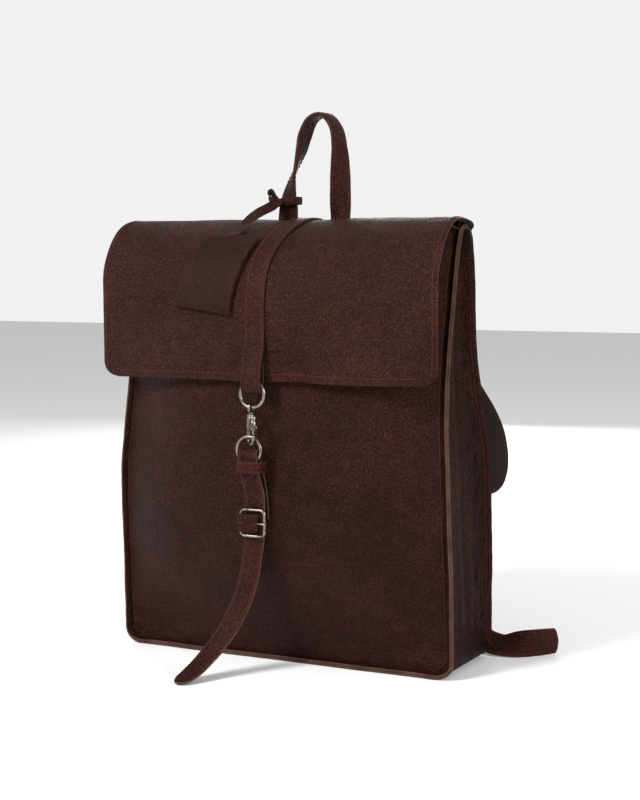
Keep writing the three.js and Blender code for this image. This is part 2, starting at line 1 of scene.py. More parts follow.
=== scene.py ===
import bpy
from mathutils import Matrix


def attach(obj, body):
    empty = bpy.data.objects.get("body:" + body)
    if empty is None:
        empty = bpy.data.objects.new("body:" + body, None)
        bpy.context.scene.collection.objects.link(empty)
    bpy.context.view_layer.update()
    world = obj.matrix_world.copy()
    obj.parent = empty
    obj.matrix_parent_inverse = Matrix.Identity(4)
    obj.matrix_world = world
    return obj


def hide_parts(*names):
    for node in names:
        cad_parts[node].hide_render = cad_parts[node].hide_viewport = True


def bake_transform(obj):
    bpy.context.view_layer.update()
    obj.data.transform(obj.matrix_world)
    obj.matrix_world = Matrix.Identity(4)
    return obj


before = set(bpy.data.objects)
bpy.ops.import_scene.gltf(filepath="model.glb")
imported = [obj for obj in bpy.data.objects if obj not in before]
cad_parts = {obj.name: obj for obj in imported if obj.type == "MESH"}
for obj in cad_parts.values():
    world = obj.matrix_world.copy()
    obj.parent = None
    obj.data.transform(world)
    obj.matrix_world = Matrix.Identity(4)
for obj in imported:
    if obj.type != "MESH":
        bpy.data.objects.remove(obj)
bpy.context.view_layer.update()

import math

import bpy
import numpy as np
from mathutils import Vector

MM = 0.001

# ---------------------------------------------------------------- camera, light, floor


def add_camera():
    data = bpy.data.cameras.new("camera")
    data.sensor_width = 36
    data.lens = 71.72
    camera = bpy.data.objects.new("camera", data)
    camera.location = (0.672, -1.3016, 0.3571)
    camera.rotation_euler = (math.radians(90 - 4.82), 0, math.radians(26.79))
    bpy.context.scene.collection.objects.link(camera)
    bpy.context.scene.camera = camera


def add_light(name, location, target, size, power):
    data = bpy.data.lights.new(name, "AREA")
    data.shape = "DISK"
    data.size = size
    data.energy = power
    lamp = bpy.data.objects.new(name, data)
    lamp.location = location
    direction = Vector(target) - Vector(location)
    lamp.rotation_euler = direction.to_track_quat("-Z", "Y").to_euler()
    bpy.context.scene.collection.objects.link(lamp)


def add_studio():
    world = bpy.data.worlds.new("studio")
    world.use_nodes = True
    background = world.node_tree.nodes["Background"]
    background.inputs["Strength"].default_value = 0.88
    tree = world.node_tree
    split = tree.nodes.new("ShaderNodeSeparateXYZ")
    tree.links.new(tree.nodes.new("ShaderNodeTexCoord").outputs["Generated"], split.inputs[0])
    sky = tree.nodes.new("ShaderNodeValToRGB")
    for element, (place, grey) in zip(sky.color_ramp.elements, ((0.25, 1.0), (0.8, 0.5))):
        element.position = place
        element.color = (grey, grey, grey, 1)
    tree.links.new(split.outputs["Z"], sky.inputs[0])
    tree.links.new(sky.outputs[0], background.inputs["Color"])
    bpy.context.scene.world = world
    bpy.context.scene.view_settings.view_transform = "Standard"
    add_light("key", (-0.7, -1.7, 1.5), (0, 0, 0.25), 0.7, 52)
    add_light("fill", (1.9, -0.5, 0.9), (0.05, 0, 0.2), 0.8, 24)
    add_light("top", (0.1, 0.3, 1.9), (0, 0, 0.3), 0.9, 3)
    add_light("back", (-0.6, 1.9, 0.7), (0, 0, 0.2), 0.9, 14)
    bpy.ops.mesh.primitive_plane_add(size=14, location=(0, 0, 0))
    floor = bpy.context.object
    floor.name = "floor"
    material = bpy.data.materials.new("floor")
    material.use_nodes = True
    shader = material.node_tree.nodes["Principled BSDF"]
    shader.inputs["Base Color"].default_value = (0.9, 0.9, 0.9, 1)
    shader.inputs["Roughness"].default_value = 0.9
    floor.data.materials.append(material)


# ---------------------------------------------------------------- numbers


def noise(x, y, seed):
    """Smooth value noise from -1 to 1, one cell per unit."""
    table = np.random.RandomState(seed).rand(64, 64) * 2 - 1
    x, y = np.broadcast_arrays(np.asarray(x, float), np.asarray(y, float))
    i, j = np.floor(x).astype(int), np.floor(y).astype(int)
    a, b = x - i, y - j
    a, b = a * a * (3 - 2 * a), b * b * (3 - 2 * b)
    low = table[i % 64, j % 64] * (1 - a) + table[(i + 1) % 64, j % 64] * a
    high = table[i % 64, (j + 1) % 64] * (1 - a) + table[(i + 1) % 64, (j + 1) % 64] * a
    return low * (1 - b) + high * b


def fractal(x, y, seed, octaves=3):
    total = 0
    for k in range(octaves):
        total = total + noise(np.asarray(x) * 2**k + 7.3 * k, np.asarray(y) * 2**k, seed + k) / 2**k
    return total / 1.6


def smooth_table(rows, width=9.0):
    """A [key, value] table as a function with its corners rounded off."""
    keys, values = np.array(rows, float).T
    fine = np.linspace(keys[0] - 60, keys[-1] + 60, 2400)
    step = fine[1] - fine[0]
    slopes = np.gradient(values, keys)
    flat = np.interp(fine, keys, values)
    flat = np.where(fine < keys[0], values[0] + slopes[0] * (fine - keys[0]), flat)
    flat = np.where(fine > keys[-1], values[-1] + slopes[-1] * (fine - keys[-1]), flat)
    kernel = np.exp(-0.5 * (np.arange(-80, 81) * step / width) ** 2)
    padded = np.pad(flat, 80, "edge")
    soft = np.convolve(padded, kernel / kernel.sum(), "valid")
    return lambda z: np.interp(z, fine, soft)


def spline(points, per_segment=12):
    """Centripetal Catmull-Rom through the points, as one dense polyline, with each sample's place in
    the list of points."""
    p = np.array(points, float)
    p = np.vstack([2 * p[0] - p[1], p, 2 * p[-1] - p[-2]])
    out, place = [], []
    for i in range(1, len(p) - 2):
        a, b, c, d = p[i - 1 : i + 3]
        t0 = 0.0
        t1 = t0 + np.linalg.norm(b - a) ** 0.5
        t2 = t1 + np.linalg.norm(c - b) ** 0.5
        t3 = t2 + np.linalg.norm(d - c) ** 0.5
        last = i == len(p) - 3
        for k in range(per_segment + (1 if last else 0)):
            s = k / per_segment
            t = t1 + (t2 - t1) * s
            a1 = (t1 - t) / (t1 - t0) * a + (t - t0) / (t1 - t0) * b
            a2 = (t2 - t) / (t2 - t1) * b + (t - t1) / (t2 - t1) * c
            a3 = (t3 - t) / (t3 - t2) * c + (t - t2) / (t3 - t2) * d
            b1 = (t2 - t) / (t2 - t0) * a1 + (t - t0) / (t2 - t0) * a2
            b2 = (t3 - t) / (t3 - t1) * a2 + (t - t1) / (t3 - t1) * a3
            out.append((t2 - t) / (t2 - t1) * b1 + (t - t1) / (t2 - t1) * b2)
            place.append(i - 1 + s)
    return np.array(out), np.array(place)


def unit(v):
    return v / np.maximum(np.linalg.norm(v, axis=-1, keepdims=True), 1e-9)


# ---------------------------------------------------------------- materials


def rgb(r, g, b):
    def linear(c):
        c /= 255
        return c / 12.92 if c <= 0.04045 else ((c + 0.055) / 1.055) ** 2.4

    return (linear(r), linear(g), linear(b), 1)


class Nodes:
    """Short hand for building one material's node tree."""

    def __init__(self, name):
        self.material = bpy.data.materials.new(name)
        self.material.use_nodes = True
        self.tree = self.material.node_tree
        self.shader = self.tree.nodes["Principled BSDF"]

    def node(self, kind, **settings):
        made = self.tree.nodes.new(kind)
        for key, value in settings.items():
            setattr(made, key, value)
        return made

    def link(self, source, target):
        self.tree.links.new(source, target)

    def put(self, node, **values):
        for key, value in values.items():
            socket = node.inputs[key.replace("_", " ")]
            if isinstance(value, bpy.types.NodeSocket):
                self.link(value, socket)
            else:
                socket.default_value = value
        return node

    def coordinates(self, scale=(1, 1, 1)):
        uv = self.node("ShaderNodeUVMap", uv_map="UVMap")
        mapping = self.put(self.node("ShaderNodeMapping"), Scale=scale)
        self.link(uv.outputs[0], mapping.inputs["Vector"])
        return mapping.outputs[0]

    def noise(self, vector, scale, detail=3.0, rough=0.55):
        made = self.node("ShaderNodeTexNoise", noise_dimensions="3D")
        self.put(made, Vector=vector, Scale=scale, Detail=detail, Roughness=rough)
        return made.outputs["Fac"]

    def cells(self, vector, scale, feature="F1", smooth=0.4):
        made = self.node("ShaderNodeTexVoronoi", feature=feature)
        self.put(made, Vector=vector, Scale=scale)
        if feature == "SMOOTH_F1":
            made.inputs["Smoothness"].default_value = smooth
        return made.outputs["Distance"]

    def math(self, operation, a, b=0.5, clamp=False):
        made = self.node("ShaderNodeMath", operation=operation, use_clamp=clamp)
        for socket, value in zip(made.inputs, (a, b)):
            if isinstance(value, bpy.types.NodeSocket):
                self.link(value, socket)
            else:
                socket.default_value = value
        return made.outputs[0]

    def ramp(self, value, *stops):
        made = self.node("ShaderNodeValToRGB")
        elements = made.color_ramp.elements
        while len(elements) < len(stops):
            elements.new(0.5)
        for element, (place, colour) in zip(elements, stops):
            element.position = place
            element.color = colour
        self.link(value, made.inputs[0])
        return made.outputs[0]

    def spread(self, value, low, high, to_low, to_high):
        made = self.node("ShaderNodeMapRange", interpolation_type="SMOOTHSTEP")
        for key, number in zip(("From Min", "From Max", "To Min", "To Max"), (low, high, to_low, to_high)):
            made.inputs[key].default_value = number
        self.link(value, made.inputs["Value"])
        return made.outputs[0]

    def mix(self, factor, a, b, mode="MIX"):
        made = self.node("ShaderNodeMix", data_type="RGBA", blend_type=mode)
        for socket, value in zip((made.inputs[0], made.inputs[6], made.inputs[7]), (factor, a, b)):
            if isinstance(value, bpy.types.NodeSocket):
                self.link(value, socket)
            else:
                socket.default_value = value
        return made.outputs[2]

    def attribute(self, name):
        return self.node("ShaderNodeAttribute", attribute_name=name).outputs["Fac"]

    def bump(self, height, strength, distance, below=None):
        made = self.put(self.node("ShaderNodeBump"), Height=height, Strength=strength, Distance=distance)
        if below is not None:
            self.link(below, made.inputs["Normal"])
        return made.outputs[0]

    def finish(self, colour, roughness, normal=None):
        self.link(colour, self.shader.inputs["Base Color"])
        self.link(roughness, self.shader.inputs["Roughness"])
        if normal is not None:
            self.link(normal, self.shader.inputs["Normal"])
        return self.material


def leather(name, dark, middle, warm, grain=1.0, crease=0.25, gloss=0.0, pebble=520.0, crinkled=False,
            shine=0.1):
    """Oiled full-grain leather: rounded pebbles about 1.3 mm across, finer pores, soft creases,
    patches of warmer colour and edges rubbed lighter. The pebble tops are painted lighter as painted highlight, and
    the valleys between pebbles and the fissure lines are painted darker as painted shade."""
    n = Nodes(name)
    flat = n.coordinates()
    warp = n.noise(flat, 260.0, 2.0)
    drift = n.node("ShaderNodeVectorMath", operation="SCALE")
    n.link(n.node("ShaderNodeTexNoise").outputs["Color"], drift.inputs[0])
    colour_noise = drift.inputs[0].links[0].from_node
    n.put(colour_noise, Vector=flat, Scale=240.0, Detail=2.0)
    drift.inputs["Scale"].default_value = 0.0011
    moved = n.node("ShaderNodeVectorMath", operation="ADD")
    n.link(flat, moved.inputs[0])
    n.link(drift.outputs[0], moved.inputs[1])
    pebbles = n.cells(moved.outputs[0], pebble, "SMOOTH_F1", 0.5)
    fissures = n.cells(moved.outputs[0], pebble * 0.52, "DISTANCE_TO_EDGE")
    pores = n.noise(flat, 2600.0, 2.0)
    patch = n.noise(flat, 11.0, 4.0, 0.6)
    mottle = n.noise(flat, 70.0, 4.0, 0.65)
    folds = n.noise(n.coordinates((1.0, 0.6, 1.0)), 90.0, 3.0, 0.6)
    base = n.ramp(n.math("ADD", n.math("MULTIPLY", patch, 0.6), n.math("MULTIPLY", mottle, 0.4)),
                  (0.3, dark), (0.52, middle), (0.72, warm))
    crack = n.spread(fissures, 0.0, 0.09, 0.0, 1.0)
    # pebble tops mixed lighter: painted highlight on the grain
    tops = n.mix(1.0, base, (2.1, 1.8, 1.75, 1), "MULTIPLY")
    base = n.mix(n.spread(pebbles, 0.02, 0.3, 0.85, 0.0), base, tops)
    # valleys between pebbles and the fissure lines mixed darker: painted shade in the grain's recesses
    base = n.mix(n.spread(pebbles, 0.22, 0.6, 0.0, 0.75), base, n.mix(1.0, base, (0.35, 0.33, 0.33, 1), "MULTIPLY"))
    base = n.mix(n.math("MULTIPLY", n.math("SUBTRACT", 1.0, crack), 0.35 * grain), base,
                 n.mix(1.0, base, (0.35, 0.33, 0.33, 1), "MULTIPLY"))
    wear = n.math("MULTIPLY", n.attribute("wear"), n.spread(mottle, 0.35, 0.7, 0.25, 1.0))
    base = n.mix(n.math("MULTIPLY", wear, 0.5), base, n.mix(1.0, base, (2.0, 1.8, 1.7, 1), "MULTIPLY"))
    rough = n.spread(n.math("ADD", n.math("MULTIPLY", mottle, 0.5), n.math("MULTIPLY", warp, 0.5)),
                     0.35, 0.65, 0.4 - gloss, 0.56 - gloss)
    height = n.math("ADD", n.math("MULTIPLY", n.math("SUBTRACT", 1.0, pebbles), 0.8 * grain),
                    n.math("ADD", n.math("MULTIPLY", crack, 0.35 * grain), n.math("MULTIPLY", pores, 0.12)))
    first = n.bump(folds, crease, 0.0016)
    if crinkled:
        net = n.cells(n.coordinates((1.0, 0.5, 1.0)), 360.0, "SMOOTH_F1", 0.35)
        depth = n.math("MULTIPLY", n.math("SUBTRACT", 1.0, net), n.attribute("crinkle"))
        first = n.bump(depth, 1.0, 0.0016, first)
        # raised crinkle cells mixed lighter: painted highlight on the crinkle ridges
        lift = n.math("MULTIPLY", n.spread(net, 0.05, 0.3, 0.5, 0.0), n.attribute("crinkle"))
        base = n.mix(lift, base, n.mix(1.0, base, (2.2, 1.9, 1.8, 1), "MULTIPLY"))
        # crinkle hollows mixed darker: painted shade between the crinkles
        shade = n.math("MULTIPLY", n.spread(net, 0.28, 0.7, 0.0, 0.75), n.attribute("crinkle"))
        base = n.mix(shade, base, n.mix(1.0, base, (0.35, 0.32, 0.32, 1), "MULTIPLY"))
    normal = n.bump(height, 1.0, 0.0011, first)
    n.shader.inputs["Specular IOR Level"].default_value = shine
    n.shader.inputs["Specular Tint"].default_value = (1.0, 0.62, 0.56, 1)
    return n.finish(base, rough, normal)


def suede(name, dark, light):
    """Napped inner face of leather: short fibres, no gloss."""
    n = Nodes(name)
    flat = n.coordinates()
    fibre = n.noise(flat, 1900.0, 4.0, 0.7)
    cloud = n.noise(flat, 30.0, 3.0)
    colour = n.mix(n.spread(n.math("ADD", n.math("MULTIPLY", fibre, 0.5), n.math("MULTIPLY", cloud, 0.5)),
                            0.35, 0.68, 0.0, 1.0), dark, light)
    normal = n.bump(fibre, 0.5, 0.0003)
    n.shader.inputs["Specular IOR Level"].default_value = 0.2
    return n.finish(colour, n.spread(fibre, 0.3, 0.7, 0.86, 0.98), normal)


def raw_edge(name, dark, light):
    """Cut edge of the hide: pale compressed fibres in layers, darkened by handling."""
    n = Nodes(name)
    flat = n.coordinates()
    fibre = n.noise(n.coordinates((1.0, 1.0, 1.0)), 1500.0, 4.0, 0.7)
    cloud = n.noise(flat, 55.0, 3.0)
    both = n.math("ADD", n.math("MULTIPLY", fibre, 0.55), n.math("MULTIPLY", cloud, 0.45))
    colour = n.ramp(both, (0.32, dark), (0.62, light))
    normal = n.bump(fibre, 0.6, 0.0003)
    n.shader.inputs["Specular IOR Level"].default_value = 0.1
    return n.finish(colour, n.spread(fibre, 0.3, 0.7, 0.65, 0.9), normal)


def thread_material():
    n = Nodes("waxed_thread")
    flat = n.coordinates((1.0, 1.0, 1.0))
    twist = n.node("ShaderNodeTexWave", wave_type="BANDS", bands_direction="DIAGONAL")
    n.put(twist, Vector=flat, Scale=900.0, Distortion=0.6)
    cloud = n.noise(flat, 300.0, 2.0)
    colour = n.mix(n.math("MULTIPLY", twist.outputs["Fac"], 0.7), rgb(54, 20, 16), rgb(120, 48, 37))
    colour = n.mix(n.spread(cloud, 0.4, 0.7, 0.0, 0.4), colour, rgb(84, 34, 27))
    n.shader.inputs["Specular IOR Level"].default_value = 0.1
    return n.finish(colour, n.spread(cloud, 0.3, 0.7, 0.45, 0.7), n.bump(twist.outputs["Fac"], 0.5, 0.0002))


# Near-black colour for the discs at needle and punched holes: painted shade inside the holes.
def hole_shade_material():
    n = Nodes("needle_hole_painted_shade")
    cloud = n.noise(n.coordinates(), 900.0, 2.0)
    return n.finish(n.mix(cloud, rgb(8, 4, 4), rgb(20, 11, 10)), n.spread(cloud, 0.3, 0.7, 0.8, 0.95))


def antique_metal():
    """Nickel plate with a brown patina in patches placed by noise, and small scratches."""
    n = Nodes("antique_nickel")
    place = n.node("ShaderNodeTexCoord").outputs["Object"]
    cloud = n.noise(place, 130.0, 4.0, 0.65)
    fine = n.noise(place, 900.0, 3.0, 0.7)
    colour = n.ramp(cloud, (0.3, rgb(70, 63, 56)), (0.5, rgb(128, 120, 110)), (0.7, rgb(158, 150, 140)))
    colour = n.mix(n.spread(fine, 0.55, 0.75, 0.0, 0.45), colour, rgb(78, 68, 58))
    n.shader.inputs["Metallic"].default_value = 1.0
    rough = n.spread(n.math("ADD", n.math("MULTIPLY", cloud, 0.5), n.math("MULTIPLY", fine, 0.5)),
                     0.35, 0.65, 0.2, 0.4)
    return n.finish(colour, rough, n.bump(fine, 0.12, 0.0002))


def canvas(name, dark, light, from_object=False):
    """Plain woven cotton, threads about 0.6 mm apart."""
    n = Nodes(name)
    flat = n.node("ShaderNodeTexCoord").outputs["Object"] if from_object else n.coordinates()
    warp = n.node("ShaderNodeTexWave", wave_type="BANDS", bands_direction="X")
    weft = n.node("ShaderNodeTexWave", wave_type="BANDS", bands_direction="Z" if from_object else "Y")
    for wave in (warp, weft):
        n.put(wave, Vector=flat, Scale=520.0, Distortion=1.2, Detail=1.0)
    weave = n.math("MULTIPLY", warp.outputs["Fac"], weft.outputs["Fac"])
    slub = n.noise(flat, 140.0, 3.0)
    colour = n.mix(n.math("ADD", n.math("MULTIPLY", weave, 0.7), n.math("MULTIPLY", slub, 0.3)), dark, light)
    n.shader.inputs["Sheen Weight"].default_value = 0.15
    return n.finish(colour, n.spread(slub, 0.3, 0.7, 0.85, 0.97), n.bump(weave, 0.5, 0.0003))


def plain_stock(name, dark, light, scale, rough):
    """Card, fibre board or foam: a fine random fibre or cell texture."""
    n = Nodes(name)
    place = n.node("ShaderNodeTexCoord").outputs["Object"]
    fibre = n.noise(place, scale, 4.0, 0.7)
    return n.finish(n.mix(fibre, dark, light), n.spread(fibre, 0.3, 0.7, rough - 0.1, rough), n.bump(fibre, 0.3, 0.0003))


BODY = leather("leather_body", rgb(30, 14, 12), rgb(46, 24, 21), rgb(64, 33, 28))
FLAP = leather("leather_flap", rgb(36, 18, 15), rgb(53, 29, 25), rgb(72, 38, 31), grain=0.9)
SIDE = leather("leather_side", rgb(28, 13, 11), rgb(45, 23, 19), rgb(72, 35, 28), grain=1.2, crease=0.6, shine=0.04,
               pebble=520.0, crinkled=True)
STRAP = leather("leather_strap", rgb(32, 14, 12), rgb(50, 24, 20), rgb(72, 34, 28), grain=0.6, gloss=0.04)
KEEPER = leather("leather_keeper", rgb(44, 16, 11), rgb(64, 26, 19), rgb(84, 38, 27), grain=0.5, gloss=0.04)
NAP = suede("leather_nap", rgb(16, 9, 8), rgb(32, 19, 16))
EDGE = raw_edge("leather_edge", rgb(42, 26, 20), rgb(86, 61, 50))
DARK_EDGE = raw_edge("leather_edge_dark", rgb(28, 15, 12), rgb(60, 38, 31))
TAG = leather("leather_tag", rgb(26, 13, 11), rgb(41, 23, 20), rgb(58, 31, 27), grain=0.35, pebble=700.0)
THREAD = thread_material()
HOLE_SHADE = hole_shade_material()
METAL = antique_metal()
LINING = canvas("lining_cotton", rgb(60, 48, 39), rgb(120, 102, 84))
LINING_FLAT = canvas("lining_cotton_flat", rgb(60, 48, 39), rgb(120, 102, 84), from_object=True)
CARD = plain_stock("tag_card_stock", rgb(196, 188, 170), rgb(234, 228, 214), 700.0, 0.85)
BOARD = plain_stock("fibre_board", rgb(110, 94, 74), rgb(160, 142, 118), 400.0, 0.9)
FOAM = plain_stock("foam", rgb(52, 52, 55), rgb(84, 84, 88), 900.0, 0.95)

# ---------------------------------------------------------------- meshes


def make(name, vertices, faces, materials, face_material=None, uv=None, attributes=None, sharp=42):
    """One object from arrays in mm; uv holds one (u, v) in metres per vertex."""
    mesh = bpy.data.meshes.new(name)
    mesh.from_pydata((np.asarray(vertices) * MM).tolist(), [], [list(map(int, f)) for f in faces])
    for material in materials:
        mesh.materials.append(material)
    if face_material is not None:
        mesh.polygons.foreach_set("material_index", np.asarray(face_material, np.int32))
    if uv is not None:
        layer = mesh.uv_layers.new(name="UVMap")
        corners = np.zeros(len(mesh.loops), np.int32)
        mesh.loops.foreach_get("vertex_index", corners)
        layer.data.foreach_set("uv", np.asarray(uv, np.float32)[corners].ravel())
    for key, values in (attributes or {}).items():
        mesh.attributes.new(key, "FLOAT", "POINT").data.foreach_set("value", np.asarray(values, np.float32))
    mesh.polygons.foreach_set("use_smooth", np.ones(len(mesh.polygons), bool))
    mesh.set_sharp_from_angle(angle=math.radians(sharp))
    mesh.update()
    made = bpy.data.objects.new(name, mesh)
    bpy.context.scene.collection.objects.link(made)
    return made


def grid_normals(points):
    return unit(np.cross(np.gradient(points, axis=1), np.gradient(points, axis=0)))


def sheet(name, points, thickness, materials, inset=0.0, soften=0.3, extra=None):
    """Closed sheet below a (rows, columns, 3) grid of points. materials are outer, inner and edge."""
    rows, columns = points.shape[:2]
    normal = grid_normals(points)
    outer = points - normal * inset
    inner = points - normal * (inset + thickness)
    border = np.zeros((rows, columns), bool)
    border[0, :] = border[-1, :] = border[:, 0] = border[:, -1] = True
    outer[border] -= normal[border] * thickness * soften
    inner[border] += normal[border] * thickness * soften
    across = np.concatenate([np.zeros((rows, 1)), np.cumsum(np.linalg.norm(np.diff(points, axis=1), axis=2), axis=1)], axis=1)
    along = np.concatenate([np.zeros((1, columns)), np.cumsum(np.linalg.norm(np.diff(points, axis=0), axis=2), axis=0)], axis=0)
    across = across - across[:, -1:] / 2
    uv = np.stack([across, along], axis=2).reshape(-1, 2) * MM
    half = np.abs(across[:, -1:])
    rim = np.minimum(half - np.abs(across), np.minimum(along, along[-1:] - along))
    wear = np.exp(-rim / 3.0).ravel()
    index = np.arange(rows * columns).reshape(rows, columns)
    back = index + rows * columns
    quads = lambda a, b, c, d: np.stack([a, b, c, d], axis=-1).reshape(-1, 4)
    outside = quads(index[:-1, :-1], index[:-1, 1:], index[1:, 1:], index[1:, :-1])
    inside = quads(back[1:, :-1], back[1:, 1:], back[:-1, 1:], back[:-1, :-1])
    rims = [
        quads(back[0, :-1], back[0, 1:], index[0, 1:], index[0, :-1]),
        quads(index[-1, :-1], index[-1, 1:], back[-1, 1:], back[-1, :-1]),
        quads(index[:-1, 0], index[1:, 0], back[1:, 0], back[:-1, 0]),
        quads(back[:-1, -1], back[1:, -1], index[1:, -1], index[:-1, -1]),
    ]
    faces = np.concatenate([outside, inside] + rims)
    kinds = np.zeros(len(faces), int)
    kinds[len(outside) :] = 1
    kinds[len(outside) + len(inside) :] = 2
    attributes = {"wear": np.concatenate([wear, wear])}
    for key, values in (extra or {}).items():
        attributes[key] = np.concatenate([values.ravel(), values.ravel()])
    vertices = np.concatenate([outer.reshape(-1, 3), inner.reshape(-1, 3)])
    return make(name, vertices, faces, materials, kinds, np.concatenate([uv, uv]), attributes)


class Ribbon:
    """A strap's centre line with its frame at every sample. rows are [x, y, z, half width, across]."""

    def __init__(self, rows, half, across, spacing=1.2):
        stations, halves, sides = [], [], []
        side = np.array(across, float)
        for row in rows:
            stations.append(row[:3])
            half = row[3] if len(row) > 3 and row[3] is not None else half
            side = np.array(row[4], float) if len(row) > 4 else side
            halves.append(half)
            sides.append(side / np.linalg.norm(side))
        points, place = spline(stations, 24)
        length = np.concatenate([[0], np.cumsum(np.linalg.norm(np.diff(points, axis=0), axis=1))])
        self.length = length[-1]
        count = max(int(self.length / spacing), 4)
        self.s = np.linspace(0, self.length, count + 1)
        take = lambda values: np.stack([np.interp(self.s, length, values[:, k]) for k in range(3)], axis=1)
        self.centre = take(points)
        place = np.interp(self.s, length, place)
        keys = np.arange(len(rows))
        sides = np.array(sides)
        self.half = np.interp(place, keys, halves)
        side = np.stack([np.interp(place, keys, sides[:, k]) for k in range(3)], axis=1)
        self.along = unit(np.gradient(self.centre, axis=0))
        self.side = unit(side - self.along * (side * self.along).sum(axis=1, keepdims=True))
        self.normal = np.cross(self.along, self.side)

    def at(self, s, across=0.0, lift=0.0):
        """Points at arc lengths s, across mm from the middle and lift mm above it, with normals."""
        take = lambda values: np.stack([np.interp(s, self.s, values[:, k]) for k in range(3)], axis=1)
        normal = unit(take(self.normal))
        return take(self.centre) + take(self.side) * across + normal * lift, normal


# Cross-section of a stitched strap: share across, share of the thickness above the middle.
SECTION = [(-0.95, 0.44), (-0.86, 0.5), (-0.78, 0.4), (-0.7, 0.5), (-0.35, 0.56), (0, 0.58),
           (0.35, 0.56), (0.7, 0.5), (0.78, 0.4), (0.86, 0.5), (0.95, 0.44)]


def ribbon_mesh(name, ribbon, thickness, materials, flat_back=False, wobble=0.0, seed=3):
    """Closed strap. materials are the face, the back and the cut edges."""
    top = list(SECTION)
    bottom = [(a, -0.5 if flat_back else -b) for a, b in reversed(top)]
    ring = top + [(1.0, 0.28), (1.0, -0.28)] + bottom + [(-1.0, -0.28), (-1.0, 0.28)]
    kinds = [0] * (len(top) - 1) + [2, 2, 2] + [1] * (len(bottom) - 1) + [2, 2, 2]
    a, b = np.array(ring).T
    n, m = len(ribbon.s), len(ring)
    lift = wobble * noise(ribbon.s / 17.0, 0, seed)[:, None, None]
    edge = 1 + 0.02 * noise(ribbon.s / 9.0, 4, seed)[:, None]
    vertices = (
        ribbon.centre[:, None]
        + ribbon.side[:, None] * (a[None, :] * edge * ribbon.half[:, None])[..., None]
        + ribbon.normal[:, None] * (b * thickness)[None, :, None]
        + ribbon.normal[:, None] * lift
    )
    index = np.arange(n * m).reshape(n, m)
    ahead = np.roll(index, -1, axis=1)
    faces = np.stack([index[:-1], ahead[:-1], ahead[1:], index[1:]], axis=-1)
    face_kind = np.tile(np.array(kinds), n - 1)
    all_faces = faces.reshape(-1, 4).tolist()
    all_faces.append(index[0][::-1].tolist())
    all_faces.append(index[-1].tolist())
    face_kind = np.concatenate([face_kind, [2, 2]])
    u = (a[None, :] * ribbon.half[:, None]) * MM
    v = np.repeat(ribbon.s[:, None], m, axis=1) * MM
    wear = np.tile(np.clip((np.abs(a) - 0.8) / 0.2, 0, 1), (n, 1))
    return make(name, vertices.reshape(-1, 3), all_faces, materials, face_kind,
                np.stack([u, v], axis=2).reshape(-1, 2), {"wear": wear.ravel()})


def stitch_mesh(name, lines, pitch=4.0, length=2.9, radius=0.42):
    """Thread, and dark discs of painted shade at the needle holes, along lines. Each line is (points, normals), dense
    and in order.
    """
    vertices, faces, kinds, uvs = [], [], [], []
    steps = np.linspace(-0.5, 0.5, 5)
    heights = np.array([-0.16, 0.2, 0.3, 0.2, -0.16])
    radii = radius * np.array([0.55, 0.95, 1.0, 0.95, 0.55])
    angles = np.arange(6) * math.pi / 3
    for points, normals in lines:
        points, normals = np.asarray(points), np.asarray(normals)
        arc = np.concatenate([[0], np.cumsum(np.linalg.norm(np.diff(points, axis=0), axis=1))])
        count = int((arc[-1] - pitch) / pitch)
        if count < 1:
            continue
        begin = (arc[-1] - count * pitch) / 2 + pitch / 2
        for k in range(count):
            s = begin + k * pitch + steps * length
            p = np.stack([np.interp(s, arc, points[:, c]) for c in range(3)], axis=1)
            n = unit(np.stack([np.interp(s, arc, normals[:, c]) for c in range(3)], axis=1))
            along = unit(p[-1] - p[0])
            side = unit(np.cross(along, n[2]))
            start = len(vertices)
            for q in range(5):
                middle = p[q] + n[q] * heights[q]
                for angle in angles:
                    vertices.append(middle + (side * math.cos(angle) + n[q] * math.sin(angle)) * radii[q])
                    uvs.append(((k * pitch + steps[q] * length) * MM, angle * radius * MM))
            for q in range(4):
                for r in range(6):
                    a, b = start + 6 * q + r, start + 6 * q + (r + 1) % 6
                    faces.append([a, b, b + 6, a + 6])
                    kinds.append(0)
            faces.append([start + r for r in range(6)][::-1])
            faces.append([start + 24 + r for r in range(6)])
            kinds += [0, 0]
            # dark discs at both ends of each stitch: painted shade in the needle holes
            for q, way in ((0, -1), (4, 1)):
                start = len(vertices)
                middle = p[q] + along * way * 0.25 + n[q] * 0.05
                vertices.append(middle + n[q] * 0.03)
                uvs.append((0, 0))
                for angle in np.arange(8) * math.pi / 4:
                    vertices.append(middle + (side * math.cos(angle) + along * math.sin(angle)) * 0.52)
                    uvs.append((math.cos(angle) * MM, math.sin(angle) * MM))
                for r in range(8):
                    faces.append([start, start + 1 + r, start + 1 + (r + 1) % 8])
                    kinds.append(1)
    return make(name, vertices, faces, [THREAD, HOLE_SHADE], kinds, uvs, {"wear": np.zeros(len(vertices))}, 60)


def punched(name, places, radius=1.3):
    """Flat dark discs of painted shade that stand for punched holes; each place is (points, normals) round its
    middle.
    """
    vertices, faces = [], []
    for points, normals in places:
        middle, normal = points.mean(axis=0), unit(normals.mean(axis=0))
        along = unit(points[-1] - points[0])
        side = np.cross(normal, along)
        start = len(vertices)
        for lift in (0.35, -0.2):
            for angle in np.arange(14) * math.pi / 7:
                vertices.append(middle + (along * math.cos(angle) + side * math.sin(angle)) * radius + normal * lift)
        faces.append([start + r for r in range(14)])
        faces.append([start + 14 + r for r in range(14)][::-1])
        for r in range(14):
            q = (r + 1) % 14
            faces.append([start + r, start + 14 + r, start + 14 + q, start + q])
    return make(name, vertices, faces, [HOLE_SHADE], uv=np.zeros((len(vertices), 2)), sharp=40)


